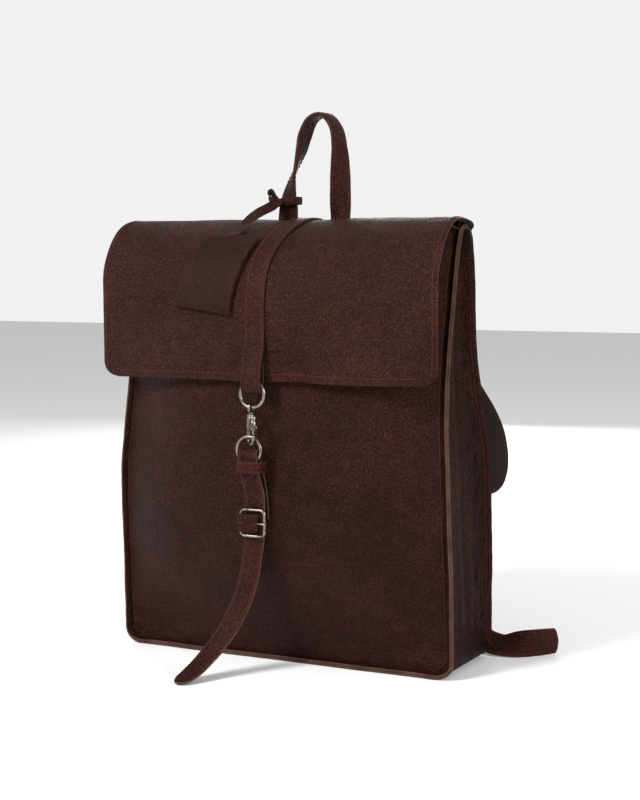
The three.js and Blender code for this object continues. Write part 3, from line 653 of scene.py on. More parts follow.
def tube(points, radius, sides=14, closed=False):
    """Vertices and faces of a round wire; radius may vary along it."""
    p = np.asarray(points, float)
    n = len(p)
    radius = np.broadcast_to(np.asarray(radius, float), (n,))
    if closed:
        along = unit(np.roll(p, -1, axis=0) - np.roll(p, 1, axis=0))
    else:
        along = unit(np.gradient(p, axis=0))
    reference = np.array([0.0, 0.0, 1.0]) if abs(along[0][2]) < 0.9 else np.array([1.0, 0.0, 0.0])
    side = unit(np.cross(along[0], reference))
    vertices = []
    for k in range(n):
        side = unit(side - along[k] * side.dot(along[k]))
        other = np.cross(along[k], side)
        for angle in np.arange(sides) * 2 * math.pi / sides:
            vertices.append(p[k] + (side * math.cos(angle) + other * math.sin(angle)) * radius[k])
    faces = []
    for k in range(n if closed else n - 1):
        for r in range(sides):
            a, b = k * sides + r, k * sides + (r + 1) % sides
            c = ((k + 1) % n) * sides
            faces.append([a, b, c + (r + 1) % sides, c + r])
    if not closed:
        faces.append([r for r in range(sides)][::-1])
        faces.append([(n - 1) * sides + r for r in range(sides)])
    return vertices, faces


def turned(start, end, profile, sides=28):
    """A part turned on a lathe between two points. profile rows are (share along, radius)."""
    start, end = np.array(start, float), np.array(end, float)
    shares, radii = np.array(profile, float).T
    return tube(start + (end - start) * shares[:, None], np.maximum(radii, 0.01), sides)


def assemble(name, parts, material, placed=lambda v: v):
    """One object of several closed shells."""
    vertices, faces = [], []
    for shell_vertices, shell_faces in parts:
        offset = len(vertices)
        vertices += [placed(np.asarray(v)) for v in shell_vertices]
        faces += [[i + offset for i in f] for f in shell_faces]
    return make(name, vertices, faces, [material], uv=np.zeros((len(vertices), 2)), sharp=50)


def ride(made, body, slot, *nodes):
    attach(made, body)
    if nodes:
        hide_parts(*nodes)
    return made


# ---------------------------------------------------------------- body of the bag

half_width = smooth_table([[0, 164], [88, 164], [174, 162.5], [215, 159.5], [245, 158], [386, 156]])
front_seam = smooth_table([[0, -45], [88, -48], [136, -52], [174, -53], [215, -50], [240, -47],
                           [286, -40], [328, -29], [353, -23], [370, -19], [386, -12]])
front_bulge = smooth_table([[0, 0], [40, 18], [90, 38], [140, 41], [200, 40], [262, 46], [330, 56], [350, 54], [386, 46]])
back_seam = smooth_table([[0, 46], [90, 45], [190, 44], [245, 30], [284, 18], [310, 16.5], [340, 17],
                          [358, 15.5], [374, 13], [386, 10]])
back_bulge = smooth_table([[0, 0], [60, 8], [190, 8], [284, 10], [310, 8.6], [340, 4.7], [358, 4],
                           [374, 4], [386, 5]])
CORNER = 15.0


def rounding(z):
    """How far the sides draw in where they turn under the bag."""
    return CORNER - np.sqrt(np.clip(CORNER**2 - np.clip(CORNER - z, 0, CORNER) ** 2, 0, None))


def front_points(across, z, soft=1.0):
    x = across * (half_width(z) - rounding(z))
    y = front_seam(z) - front_bulge(z) * (1 - np.abs(across) ** 3) * (z > 0)
    edge = np.clip((1 - np.abs(across)) * 6, 0, 1) * np.clip(z / 25, 0, 1)
    dents = 1.25 * (1 + fractal(x / 62, z / 74, 11)) + 0.35 * (1 + fractal(x / 19, z / 27, 21))
    drag = 1.1 * (1 + noise((x + 0.5 * z) / 17, (z - 0.3 * x) / 120, 31)) * np.clip((90 - z) / 90, 0, 1)
    y = y + (dents + drag) * edge * soft
    return np.stack([x, y, z], axis=-1)


def back_points(across, z, soft=1.0):
    x = across * (half_width(z) - rounding(z))
    y = back_seam(z) + back_bulge(z) * (1 - np.abs(across) ** 3)
    edge = np.clip((1 - np.abs(across)) * 6, 0, 1) * np.clip(z / 20, 0, 1)
    y = y - (0.9 * (1 + fractal(x / 55, z / 80, 41)) + 0.3 * (1 + fractal(x / 17, z / 23, 44))) * edge * soft
    return np.stack([x, y, z], axis=-1)


def lattice(columns, rows):
    return np.meshgrid(np.linspace(-1, 1, columns), np.linspace(0, 1, rows))


def add_front():
    across, up = lattice(141, 151)
    top = 390 - 28 * (1 - across**2)
    z = 0.8 + (top - 0.8) * up**1.25
    panel = sheet("front_panel_leather", front_points(across, z), 2.2, [BODY, NAP, EDGE])
    ride(panel, "bag", "leather", "front_panel")
    across, up = lattice(91, 91)
    top = 376 - 20 * (1 - across**2)
    z = 12 + (top - 12) * up
    inside = sheet("front_lining_cloth", front_points(across * 0.944, z), 0.9, [LINING, LINING, LINING], inset=4.8)
    ride(inside, "bag", "lining", "lining_front")


def add_back():
    across, up = lattice(111, 131)
    panel = sheet("back_panel_leather", back_points(-across, 0.8 + 383.0 * up**1.25), 2.2, [BODY, NAP, EDGE])
    ride(panel, "bag", "leather", "back_panel")
    top = 372 + 4 * (1 - across**2)
    inside = sheet("back_lining_cloth", back_points(-across * 0.944, 12 + (top - 12) * up), 0.9,
                   [LINING, LINING, LINING], inset=9.2)
    ride(inside, "bag", "lining", "lining_back")
    across, up = lattice(101, 16)
    anchor = sheet("flap_anchor_leather", back_points(-across * 0.994, 352 + 33.0 * up, 0.0), 2.0,
                   [FLAP, NAP, DARK_EDGE], inset=-2.5)
    ride(anchor, "bag", "leather", "flap_anchor")
    lines = []
    for z in (356.0, 359.0):
        row = back_points(np.linspace(0.97, -0.97, 200), np.full(200, z), 0.0)
        normals = np.tile([0, 0.97, 0.24], (200, 1))
        lines.append((row + normals * 2.6, normals))
    ride(stitch_mesh("flap_anchor_stitches", lines), "bag", "leather")


def gusset_rows(columns, rows, side, low, tops):
    """Share across and height of a gusset grid; rows follow the turned corner by equal lengths."""
    across, up = lattice(columns, rows)
    share = (across + 1) / 2 if side > 0 else (1 - across) / 2
    top = tops[0] + (tops[1] - tops[0]) * share
    arc = CORNER * math.pi / 2
    along = low + up * (top - CORNER + arc - low)
    angle = np.clip(along / CORNER, 0, math.pi / 2)
    return share, np.where(along < arc, CORNER * (1 - np.cos(angle)), along - arc + CORNER)


def gusset_points(side, share, z, soft=1.0):
    front, back = front_seam(z) - 0.6, back_seam(z) + 0.6
    full = np.clip(z / 150, 0, 1)
    belly = np.sin(math.pi * share)
    inward = 5.0 * belly**0.8 * full
    ridge = 2.8 * np.exp(-(((share - 0.3) / 0.09) ** 2)) - 2.6 * np.exp(-(((share - 0.47) / 0.08) ** 2))
    inward = inward - ridge * np.clip(z / 60, 0, 1) * (0.75 + 0.25 * noise(z / 60, 0, 5)) * soft
    margin = np.clip(belly * 2.4, 0, 1) * np.clip(z / 18, 0.1, 1)
    crumple = crinkle_mask(share)
    wrinkles = 1.0 * fractal(share * 2.6, z / 60, 51 + side) + crumple * (
        1.1 * noise(share * 13 + 0.4 * noise(share * 5, z / 18, 65), z / 14, 61) + 0.6 * noise(share * 27, z / 7, 71))
    inward = inward + wrinkles * margin * soft
    x = side * (half_width(z) - rounding(z) - inward)
    return np.stack([x, front + (back - front) * share, z + 0 * x], axis=-1)


def crinkle_mask(share):
    return np.clip((share - 0.52) * 4, 0, 1) * np.clip((1.0 - share) * 7, 0, 1)


def add_gussets():
    for label, side in (("left", -1), ("right", 1)):
        share, z = gusset_rows(61, 231, side, 0.0, (395.0, 385.5))
        points = gusset_points(side, share, z)
        panel = sheet(f"gusset_{label}_leather", points, 1.9, [SIDE, NAP, EDGE],
                      extra={"crinkle": np.clip(crinkle_mask(share) + 0.12, 0, 1)})
        ride(panel, "bag", "leather", f"gusset_{label}")
        across, up = lattice(31, 91)
        share = 0.1 + 0.8 * ((across + 1) / 2 if side > 0 else (1 - across) / 2)
        inside = sheet(f"side_{label}_lining_cloth", gusset_points(side, share, 15 + 315 * up, 0.5), 0.9,
                       [LINING, LINING, LINING], inset=5.4)
        ride(inside, "bag", "lining", f"lining_side_{label}")


def seam_flange(name, rows, width, layer, edge, seed):
    """Two raw-edged layers that stand out along a seam, side by side. rows are [point, outward]."""
    made = []
    for k, offset in enumerate((-0.5, 0.5)):
        ribbon = Ribbon([[*p, width / 2, d] for p, d in rows], width / 2, rows[0][1], 1.5)
        sway = 0.45 * noise(ribbon.s / 23, k, seed) + 0.25 * noise(ribbon.s / 7, k, seed + 3)
        ribbon.centre = ribbon.centre + ribbon.normal * (offset * layer + sway * 0.3)[:, None]
        ribbon.centre = ribbon.centre + ribbon.side * (width / 2 - 1.2 + 0.5 * sway)[:, None]
        made.append(ribbon_mesh(f"{name}_{k + 1}", ribbon, layer, [BODY, NAP, edge], seed=seed + k))
    return made


def seam_path(seam, top, way, bottom_z):
    """Down the right edge, round the corner, along the bottom, and up the left edge."""
    rows = []
    if way < 0:
        for y, z in ((9.5, 383), (8.2, 387), (4.5, 389.6), (-1, 391), (-6.5, 390.4)):
            rows.append([[half_width(z) - 2.6, y, z], [1, 0, 0.1]])
    for z in np.linspace(top, CORNER + 6, 26):
        rows.append([[half_width(z) - 0.4, seam(z) + 0.2 * way, z], [0.62, 0.78 * way, 0]])
    for angle in np.radians(np.linspace(80, 10, 5)):
        z = CORNER * (1 - math.cos(angle))
        x = half_width(0) - CORNER + CORNER * math.sin(angle)
        lift = bottom_z * math.cos(angle)
        rows.append([[x - 0.4, seam(z) + 0.2 * way, z + lift],
                     [0.62 * math.sin(angle), way * (0.78 + 0.2 * math.cos(angle)), -0.1 * math.cos(angle)]])
    for x in np.linspace(136, 0, 10):
        rows.append([[x, seam(0) + way * (0.2 + 0.6 * float(noise(x / 40, 0, 7))), bottom_z], [0, way, 0.02]])
    left = [[[-p[0] + 0.0, p[1], p[2]], [-d[0], d[1], d[2]]] for p, d in rows[:-1]]
    return rows + left[::-1]


def add_seams():
    front = seam_path(front_seam, 384, -1, 2.6)
    for piece in seam_flange("front_seam", front, 6.2, 2.0, EDGE, 80):
        ride(piece, "bag", "leather")
    back = seam_path(back_seam, 383, 1, 2.2)
    for piece in seam_flange("back_seam", back, 4.4, 1.5, DARK_EDGE, 90):
        ride(piece, "bag", "leather")
    stitches = []
    for side in (-1, 1):
        fine = np.linspace(14, 380, 240)
        across = np.full(240, side * (1 - 4.6 / 162))
        row = front_points(across, fine)
        stitches.append((row + [0, -0.1, 0], np.tile(unit(np.array([side * 0.55, -0.83, 0.0])), (240, 1))))
        row = back_points(across, fine)
        stitches.append((row + [0, 0.1, 0], np.tile([0, 1.0, 0], (240, 1))))
        for share in (0.05, 0.94):
            row = gusset_points(side, np.full(240, share), fine)
            stitches.append((row + [side * 0.1, 0, 0], np.tile([side * 1.0, 0, 0], (240, 1))))
    ride(stitch_mesh("body_stitches", stitches), "bag", "leather")


def add_base():
    across, along = lattice(101, 41)
    x = across * (half_width(0) - CORNER + 1.0)
    y = (along * 2 - 1) * 45.5
    z = 0.1 + 0.35 * (1 + fractal(x / 40, y / 30, 5)) * np.clip((45.5 - np.abs(y)) / 20, 0, 1)
    bottom = sheet("base_leather", np.stack([x, -y, z], axis=-1), 2.3, [BODY, NAP, EDGE])
    ride(bottom, "bag", "leather", "base_panel")


# ---------------------------------------------------------------- flap

FLAP_END = [[12, 385.8], [7.5, 391.5], [-10, 396.5], [-38, 398.6], [-54, 393.5], [-67, 383],
            [-78, 366], [-84, 350], [-85, 330], [-85, 293], [-85, 256]]
FLAP_CENTRE = [[18.5, 385.6], [16.5, 393], [8, 398.6], [-11, 400], [-36, 395.6], [-62, 384],
               [-80, 367], [-91, 349], [-97.4, 328], [-98.6, 293], [-98.6, 257]]
END_LINE = spline(FLAP_END, 24)[0]
CENTRE_LINE = spline(FLAP_CENTRE, 24)[0]


def flap_points(across, v, soft=1.0):
    """Flap surface; v runs from 0 at the hinge line to 1 at the front edge."""
    keys = np.linspace(0, 1, len(END_LINE))
    pick = lambda line, k: np.interp(v, keys, line[:, k])
    middle = 1 - across**2
    y = pick(END_LINE, 0) + (pick(CENTRE_LINE, 0) - pick(END_LINE, 0)) * middle
    z = pick(END_LINE, 1) + (pick(CENTRE_LINE, 1) - pick(END_LINE, 1)) * middle
    corner = np.clip(1 - (z - 256.5) / 14.0, 0, 1) * (v > 0.6)
    width = 166 - 14.0 * (1 - np.sqrt(np.clip(1 - corner**2, 0, 1))) - 10.0 * np.clip(1 - v / 0.2, 0, 1) ** 1.2
    x = across * width
    low = np.clip((v - 0.62) / 0.38, 0, 1)
    y = y + soft * low * (1.5 * (noise(x / 66, 2.0, 13) + 0.6) + 0.8 * noise(x / 23, v * 2, 17) * low)
    top = np.exp(-(((v - 0.45) / 0.2) ** 2))
    dent = soft * top * (1.1 * (1 + fractal(x / 48, v * 5, 23)) + 0.35 * noise(x / 12, v * 14, 27))
    z = z - dent * 0.8 + soft * low * 0.9 * noise(x / 37, 0, 19)
    saddle = np.exp(-(((x - 7) / 34) ** 2)) * np.exp(-(((v - 0.2) / 0.14) ** 2))
    z = z - 2.6 * saddle * soft
    return np.stack([x, y, z], axis=-1)


def flap_surface(x, v):
    """A point on the flap and its outward normal, for the pieces that lie on it."""
    def at(a, b):
        return flap_points(np.array([a / 166.0]), np.array([b]))[0]

    p = at(x, v)
    du = at(x + 0.5, v) - at(x - 0.5, v)
    dv = at(x, min(v + 0.004, 1)) - at(x, max(v - 0.004, 0))
    n = np.cross(dv, du)
    return p, n / np.linalg.norm(n)


def add_flap():
    across, v = lattice(181, 171)
    v = np.where(v > 0.88, 0.88 + (1 - (1 - (v - 0.88) / 0.12) ** 1.6) * 0.12, v)
    points = flap_points(-across, v)
    made = sheet("flap_leather", points, 2.2, [FLAP, NAP, EDGE])
    ride(made, "flap", "leather", "flap")
    inset = 4.4
    edge = inset / 166
    lines = []
    keys = np.linspace(0.1, 1, 400)
    for side in (-1, 1):
        v_line = np.clip(keys, 0, 1 - inset / 250)
        p = flap_points(np.full(400, side * (1 - edge)), v_line)
        q = flap_points(np.full(400, side * (1 - 2 * edge)), v_line)
        d = flap_points(np.full(400, side * (1 - edge)), np.clip(v_line + 0.01, 0, 1)) - p
        n = unit(np.cross(d, (p - q) * side) + 1e-9)
        lines.append((p + n * 0.1, n))
    a = np.linspace(-1 + 2.6 * edge, 1 - 2.6 * edge, 500)
    p = flap_points(a, np.full(500, 1 - inset / 250))
    n = np.tile([0, -1.0, 0.0], (500, 1))
    lines.append((p + n * 0.1, n))
    ride(stitch_mesh("flap_stitches", lines), "flap", "leather")
    add_facing()
    add_fold()


def add_fold():
    """Strip inside the bend that joins the fixed strip on the back to the flap."""
    across, up = lattice(61, 21)
    low = back_points(-across * 0.985, 378.0 + 0 * up, 0.0) + [0, 1.2, 0]
    high = flap_points(-across * 0.985, 0.08 + 0 * up, 0.0)
    high = high - [0, 0.9, 2.4]
    fold = sheet("flap_fold_leather", low + (high - low) * up[..., None], 1.2, [NAP, NAP, DARK_EDGE])
    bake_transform(fold)


def add_facing():
    end = spline([[-15, 389.5], [-26, 391.4], [-38, 391.6], [-48, 386], [-56, 372], [-58, 362]], 20)[0]
    centre = spline([[6, 393.4], [-14, 393.8], [-38, 389], [-58, 379.6], [-72.4, 367.4], [-79.4, 360]], 20)[0]
    across, v = lattice(121, 61)
    keys = np.linspace(0, 1, len(end))
    middle = 1 - across**2
    pick = lambda line, k: np.interp(v, keys, line[:, k])
    y = pick(end, 0) + (pick(centre, 0) - pick(end, 0)) * middle
    z = pick(end, 1) + (pick(centre, 1) - pick(end, 1)) * middle - 0.8 * (1 + noise(across * 9, v * 4, 8)) * 0.5
    made = sheet("flap_facing_leather", np.stack([-across * 157, y, z], axis=-1), 1.3, [NAP, NAP, EDGE])
    ride(made, "flap", "leather", "flap_facing")


# ---------------------------------------------------------------- flap strap and clasp

CLASP_Y = -104.5
UPPER = (2, 246.5, 11.6, 1.5)
LOWER = (-1.5, 198, 11.6, 1.5)
HOOK_X = 0.6
HOOK_TURN = math.radians(-40)


def edge_lines(ribbon, thickness, inset=2.2, start=3.0, stop=3.0, back=False):
    """Stitch lines along both edges of a strap's face, and of its back if asked."""
    s = np.arange(start, ribbon.length - stop, 0.8)
    half = np.interp(s, ribbon.s, ribbon.half)
    lines = []
    for way in (-1, 1):
        for face in ((1, -1) if back else (1,)):
            centre, normal = ribbon.at(s)
            side = np.stack([np.interp(s, ribbon.s, ribbon.side[:, k]) for k in range(3)], axis=1)
            p = centre + side * (way * (half - inset))[:, None] + normal * (face * thickness * 0.44)
            lines.append((p, normal * face))
    return lines


def cross_line(ribbon, s, thickness, reach):
    """A short stitch line straight across a strap at arc length s."""
    a = np.linspace(-reach, reach, 40)
    centre, normal = ribbon.at(np.full(40, s), 0.0, thickness * 0.52)
    side = np.stack([np.interp(s, ribbon.s, ribbon.side[:, k]) for k in range(3)])
    return centre + side[None, :] * a[:, None], normal


def strap_over_flap():
    places = [(0.13, 8), (0.2, 8), (0.27, 8), (0.34, 7.8), (0.41, 7.2), (0.48, 5.6), (0.55, 3.0),
              (0.62, 0.8), (0.69, 0), (0.76, 0.2), (0.82, 0.8), (0.87, 1.5)]
    rows = []
    for v, x in places:
        p, n = flap_surface(x, v)
        rows.append([*(p + n * 1.3), 9.5, [1, 0, 0]])
    x = UPPER[0]
    rows += [[x, -101.3, 288], [x, -103.6, 279], [x, -105.9, 270], [x, -107.6, 262], [x, -107.7, 255],
             [x, -107.2, 250.6], [x, -104.5, 247.8], [x, -101.9, 250.6], [x, -101.4, 255], [x, -101.2, 262],
             [x, -101.2, 274]]
    return Ribbon(rows, 9.5, [1, 0, 0], 1.0)


def add_flap_strap():
    ribbon = strap_over_flap()
    made = ribbon_mesh("flap_strap_leather", ribbon, 2.0, [STRAP, STRAP, DARK_EDGE])
    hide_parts("flap_strap", "flap_strap_loop")
    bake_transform(made)
    visible = Ribbon([[*p] for p in ribbon.centre[:: 12] if p[2] > 282 or p[1] > -100.5], 9.5, [1, 0, 0], 1.0)
    lines = edge_lines(visible, 2.0, stop=2.0)
    stations = visible.centre[:, 2]
    s = visible.s[np.argmin(np.abs(stations - 310) + (visible.centre[:, 1] > -60) * 1000)]
    lines.append(cross_line(visible, s, 2.0, 6.8))
    ride(stitch_mesh("flap_strap_stitches", lines), "flap", "leather")
    front = np.abs(ribbon.centre[:, 2] - 268) + (ribbon.centre[:, 1] > -103) * 1000
    ride(stitch_mesh("flap_strap_loop_stitches", [cross_line(ribbon, ribbon.s[np.argmin(front)], 2.0, 6.8)]),
         "clasp_loop", "leather")


def ring_mesh(name, ring, body, node):
    x, z, radius, wire = ring
    angles = np.linspace(0, 2 * math.pi, 72, endpoint=False)
    points = np.stack([x + radius * np.cos(angles), np.full(72, CLASP_Y), z + radius * np.sin(angles)], axis=1)
    return ride(assemble(name, [tube(points, wire, 16, closed=True)], METAL), body, "metal", node)


def hook_placed(v):
    c, s = math.cos(HOOK_TURN), math.sin(HOOK_TURN)
    return np.array([v[0] * c - v[1] * s + HOOK_X, v[0] * s + v[1] * c + CLASP_Y, v[2]])


def add_hook():
    angles = np.linspace(0, 2 * math.pi, 48, endpoint=False)
    turn = -HOOK_TURN
    ring = np.stack([3.7 * np.cos(angles) * -math.sin(turn), 3.7 * np.cos(angles) * math.cos(turn),
                     234.4 + 3.7 * np.sin(angles)], axis=1)
    stem = turned((0, 0, 231.4), (0, 0, 228.6), [(0, 1.4), (0.4, 2.0), (0.6, 2.2), (0.9, 1.8), (1, 1.2)])
    made = assemble("hook_eye_metal", [tube(ring, 1.12, 14, closed=True), stem], METAL, hook_placed)
    ride(made, "hook_eye", "metal", "hook_eye")
    arm_line = [[-4.6, 0, 227], [-5.8, 0, 221], [-6, 0, 215], [-5.7, 0, 208], [-3.6, 0, 204.2],
                [0, 0, 202.6], [3.8, 0, 204.4], [5.6, 0, 208], [5.8, 0, 211.2]]
    arm, place = spline(arm_line, 10)
    swell = 1.55 + 0.25 * np.exp(-(((place - 5) / 1.2) ** 2)) - 0.15 * (place > 7.6)
    collar = turned((0, 0, 229.1), (0, 0, 224.6),
                    [(0, 2.6), (0.08, 3.3), (0.3, 3.5), (0.42, 3.0), (0.5, 3.0), (0.6, 3.5), (0.9, 3.3), (1, 2.4)])
    bridge = turned((-5.4, 0, 226.6), (6.6, 0, 226.6), [(0, 1.0), (0.05, 1.6), (0.5, 1.8), (0.95, 1.7), (1, 1.1)])
    barrel = turned((5.8, 0, 228.3), (5.8, 0, 215.5),
                    [(0, 1.4), (0.04, 2.3), (0.1, 2.7), (0.3, 2.7), (0.33, 2.4), (0.38, 2.4), (0.41, 2.7),
                     (0.9, 2.7), (0.96, 2.5), (1, 1.9)])
    made = assemble("hook_body_metal", [tube(arm, swell, 16), collar, bridge, barrel], METAL, hook_placed)
    ride(made, "hook", "metal", "hook_body", "hook_spring")
    bolt = turned((5.8, 0, 218), (5.8, 0, 211.5), [(0, 1.3), (0.9, 1.3), (0.97, 1.1), (1, 0.7)], 20)
    thumb = turned((6.4, 0, 218.4), (12.1, 0, 218.4),
                   [(0, 0.9), (0.68, 0.9), (0.7, 1.4), (0.78, 1.6), (0.94, 1.5), (1, 0.9)], 20)
    made = assemble("hook_bolt_metal", [bolt, thumb], METAL, hook_placed)
    ride(made, "hook_bolt", "metal", "hook_bolt")


def lower_strap_ribbon():
    x = LOWER[0]
    back, front = CLASP_Y + 3.1, CLASP_Y - 3.1
    rows = [
        [x + 4.8, -95, 136], [x + 4, -95.2, 155], [x + 2.4, -97, 172],
        [x + 1.2, back + 0.6, 182], [x + 0.5, back, 190], [x, back + 0.2, 195.4], [x, CLASP_Y, 198.4],
        [x, front - 0.2, 195.4], [x + 0.4, front, 190], [x + 1, front + 1.4, 181],
        [x + 2.2, front + 4, 170], [x + 3.4, -100.2, 158], [x + 3.6, -100, 140], [x + 3.2, -100.2, 122],
        [x + 2, -101.2, 108], [x, -103.2, 90], [x - 3.6, -106.6, 72], [x - 10, -112.6, 52],
        [x - 18, -121.6, 34], [x - 26, -134, 19], [x - 32, -148, 8.5], [x - 36, -160, 3.4, 8.5],
        [x - 38, -165.4, 2.6, 4.5],
    ]
    return Ribbon(rows, 9.5, [1, 0, 0], 1.0)


def rounded_end(ribbon, radius):
    """Narrows a strap to a round tip over its last mm."""
    left = ribbon.length - ribbon.s
    share = np.clip(left / radius, 0.02, 1)
    ribbon.half = np.maximum(ribbon.half, 8.5) * np.sqrt(np.clip(1 - (1 - share) ** 2, 0.003, 1))
    return ribbon


def add_lower_strap():
    ribbon = rounded_end(lower_strap_ribbon(), 11.0)
    made = ribbon_mesh("lower_strap_leather", ribbon, 2.0, [STRAP, NAP, EDGE], wobble=0.15)
    ride(made, "bag", "leather", "lower_strap")
    lines = edge_lines(ribbon, 2.0, stop=12.0, start=4)
    ride(stitch_mesh("lower_strap_stitches", lines), "bag", "leather")


def add_keeper():
    x = LOWER[0] + 1.1
    y0, y1 = -109.8, -96.0
    corners = [[x - 11.1, y1], [x - 11.1, y0 + 3], [x - 9, y0 + 0.3], [x, y0], [x + 9, y0 + 0.3],
               [x + 11.1, y0 + 3], [x + 11.1, y1], [x, y1 + 0.1]]
    loop = spline([[a, b, 183.2] for a, b in corners + corners[:2]], 10)[0][:-10]
    ribbon = Ribbon([[*p] for p in loop[::4]], 5.2, [0, 0.06, 1], 0.8)
    made = ribbon_mesh("strap_keeper_leather", ribbon, 1.4, [KEEPER, NAP, DARK_EDGE])
    ride(made, "bag", "leather", "strap_keeper")
    lines = edge_lines(ribbon, 1.4, inset=1.4)
    ride(stitch_mesh("strap_keeper_stitches", lines, 3.2, 2.2, 0.34), "bag", "leather")


def frame_line(x, y, z, half_x, half_z, radius, bow=0.0):
    """Closed centre line of a rectangular wire frame with rounded corners, bowed along Y."""
    points = []
    for cx, cz, start in ((1, 1, 0), (-1, 1, 90), (-1, -1, 180), (1, -1, 270)):
        for angle in np.radians(np.linspace(start, start + 90, 9)):
            px = cx * (half_x - radius) + radius * math.cos(angle)
            pz = cz * (half_z - radius) + radius * math.sin(angle)
            points.append([x + px, y - bow * (1 - (pz / half_z) ** 2), z + pz])
    return np.array(points)


def add_buckle():
    x, y, z = 2.5, -105.4, 134.4
    half_x, half_z, wire = 13 - 1.35, 12.75 - 1.35, 1.35
    line = frame_line(x, y, z, half_x, half_z, 4.0)
    ride(assemble("buckle_frame_metal", [tube(line, wire, 14, closed=True)], METAL), "buckle_frame", "metal", "buckle_frame")
    bar = x - half_x
    wrap = [[x + 6.6, y + 2.7, z], [x, y + 2.7, z], [bar + 1.4, y + 2.7, z], [bar - 1.9, y + 1.9, z],
            [bar - 2.8, y, z], [bar - 1.9, y - 1.9, z], [bar + 1.4, y - 2.8, z], [x, y - 3.3, z], [x + 6, y - 2.7, z]]
    for label, centre in (("upper", 3.95), ("lower", -3.95)):
        rows = [[a, b, c + centre] for a, b, c in wrap]
        made = ribbon_mesh(f"buckle_chape_{label}", Ribbon(rows, 3.75, [0, 0, 1], 0.6), 1.4, [STRAP, NAP, DARK_EDGE])
        if label == "upper":
            ride(made, "bag", "leather", "buckle_chape")
        else:
            ride(made, "bag", "leather")
    hub_angles = np.linspace(0, 2 * math.pi, 24, endpoint=False)
    hub = np.stack([bar + 2.05 * np.cos(hub_angles), y + 2.05 * np.sin(hub_angles), np.full(24, z)], axis=1)
    tongue = spline([[bar + 2, y - 0.6, z], [x - 2, y - 1.6, z], [x + 6, y - 2.2, z], [x + 10.6, y - 2.6, z], [x + 14.8, y - 2.4, z]], 8)[0]
    taper = np.interp(np.linspace(0, 1, len(tongue)), [0, 0.9, 1], [1.0, 0.85, 0.4])
    made = assemble("buckle_prong_metal", [tube(hub, 0.55, 10, closed=True), tube(tongue, taper, 12)], METAL)
    ride(made, "buckle_prong", "metal", "buckle_prong")


# ---------------------------------------------------------------- handle and tag


def add_handle():
    rows = [
        [-20.6, 5, 397.4, 9.5, [-1, 0, 0]], [-20.4, 5, 402], [-20, 5, 410, 9.5, [-1, 0.1, 0]],
        [-19.4, 5, 420, 9.5, [-0.92, 0.4, 0]], [-15.6, 5, 437, 9.5, [-0.6, 0.8, 0]],
        [-11.4, 5, 448, 9.5, [-0.35, 0.93, 0]], [-6.8, 5, 462, 9.5, [0, 1, 0]],
        [-3.1, 5, 475, 9.5, [0.2, 0.97, 0]], [5, 5, 490, 9.5, [0.1, 1, 0]], [17, 5, 493.4, 9.5, [0.1, 1, 0]],
        [28, 5, 482, 9.5, [0.15, 0.99, 0]], [32, 5, 463, 9.5, [0.3, 0.95, 0]],
        [32.8, 5, 440, 9.5, [0.7, 0.7, 0]], [33, 5, 420, 9.5, [0.93, 0.36, 0]],
        [33.2, 5, 402, 9.5, [1, 0, 0]], [33.2, 5, 397.4],
    ]
    ribbon = Ribbon(rows, 9.5, [-1, 0, 0], 1.1)
    made = ribbon_mesh("handle_leather", ribbon, 3.2, [STRAP, STRAP, DARK_EDGE], wobble=0.2)
    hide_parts("handle")
    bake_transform(made)
    lines = edge_lines(ribbon, 3.2, back=True, start=12.0, stop=12.0)
    ride(stitch_mesh("handle_stitches", lines), "handle", "leather")


def leaf_grid(columns, rows, offset, shrink=0.0):
    across, v = lattice(columns, rows)
    grid = np.zeros((rows, columns, 3))
    for j in range(rows):
        for i in range(columns):
            share = shrink + (1 - 2 * shrink) * v[j, i]
            left = (1 - across[j, i]) / 2
            place = 0.522 + (0.318 - 0.02 * left) * share
            x = -36 - (13.5 + 4 * left) * share + 26 * (1 - 2 * shrink) * across[j, i]
            p, n = flap_surface(x, place)
            grid[j, i] = p + n * offset
    return grid[:, ::-1]


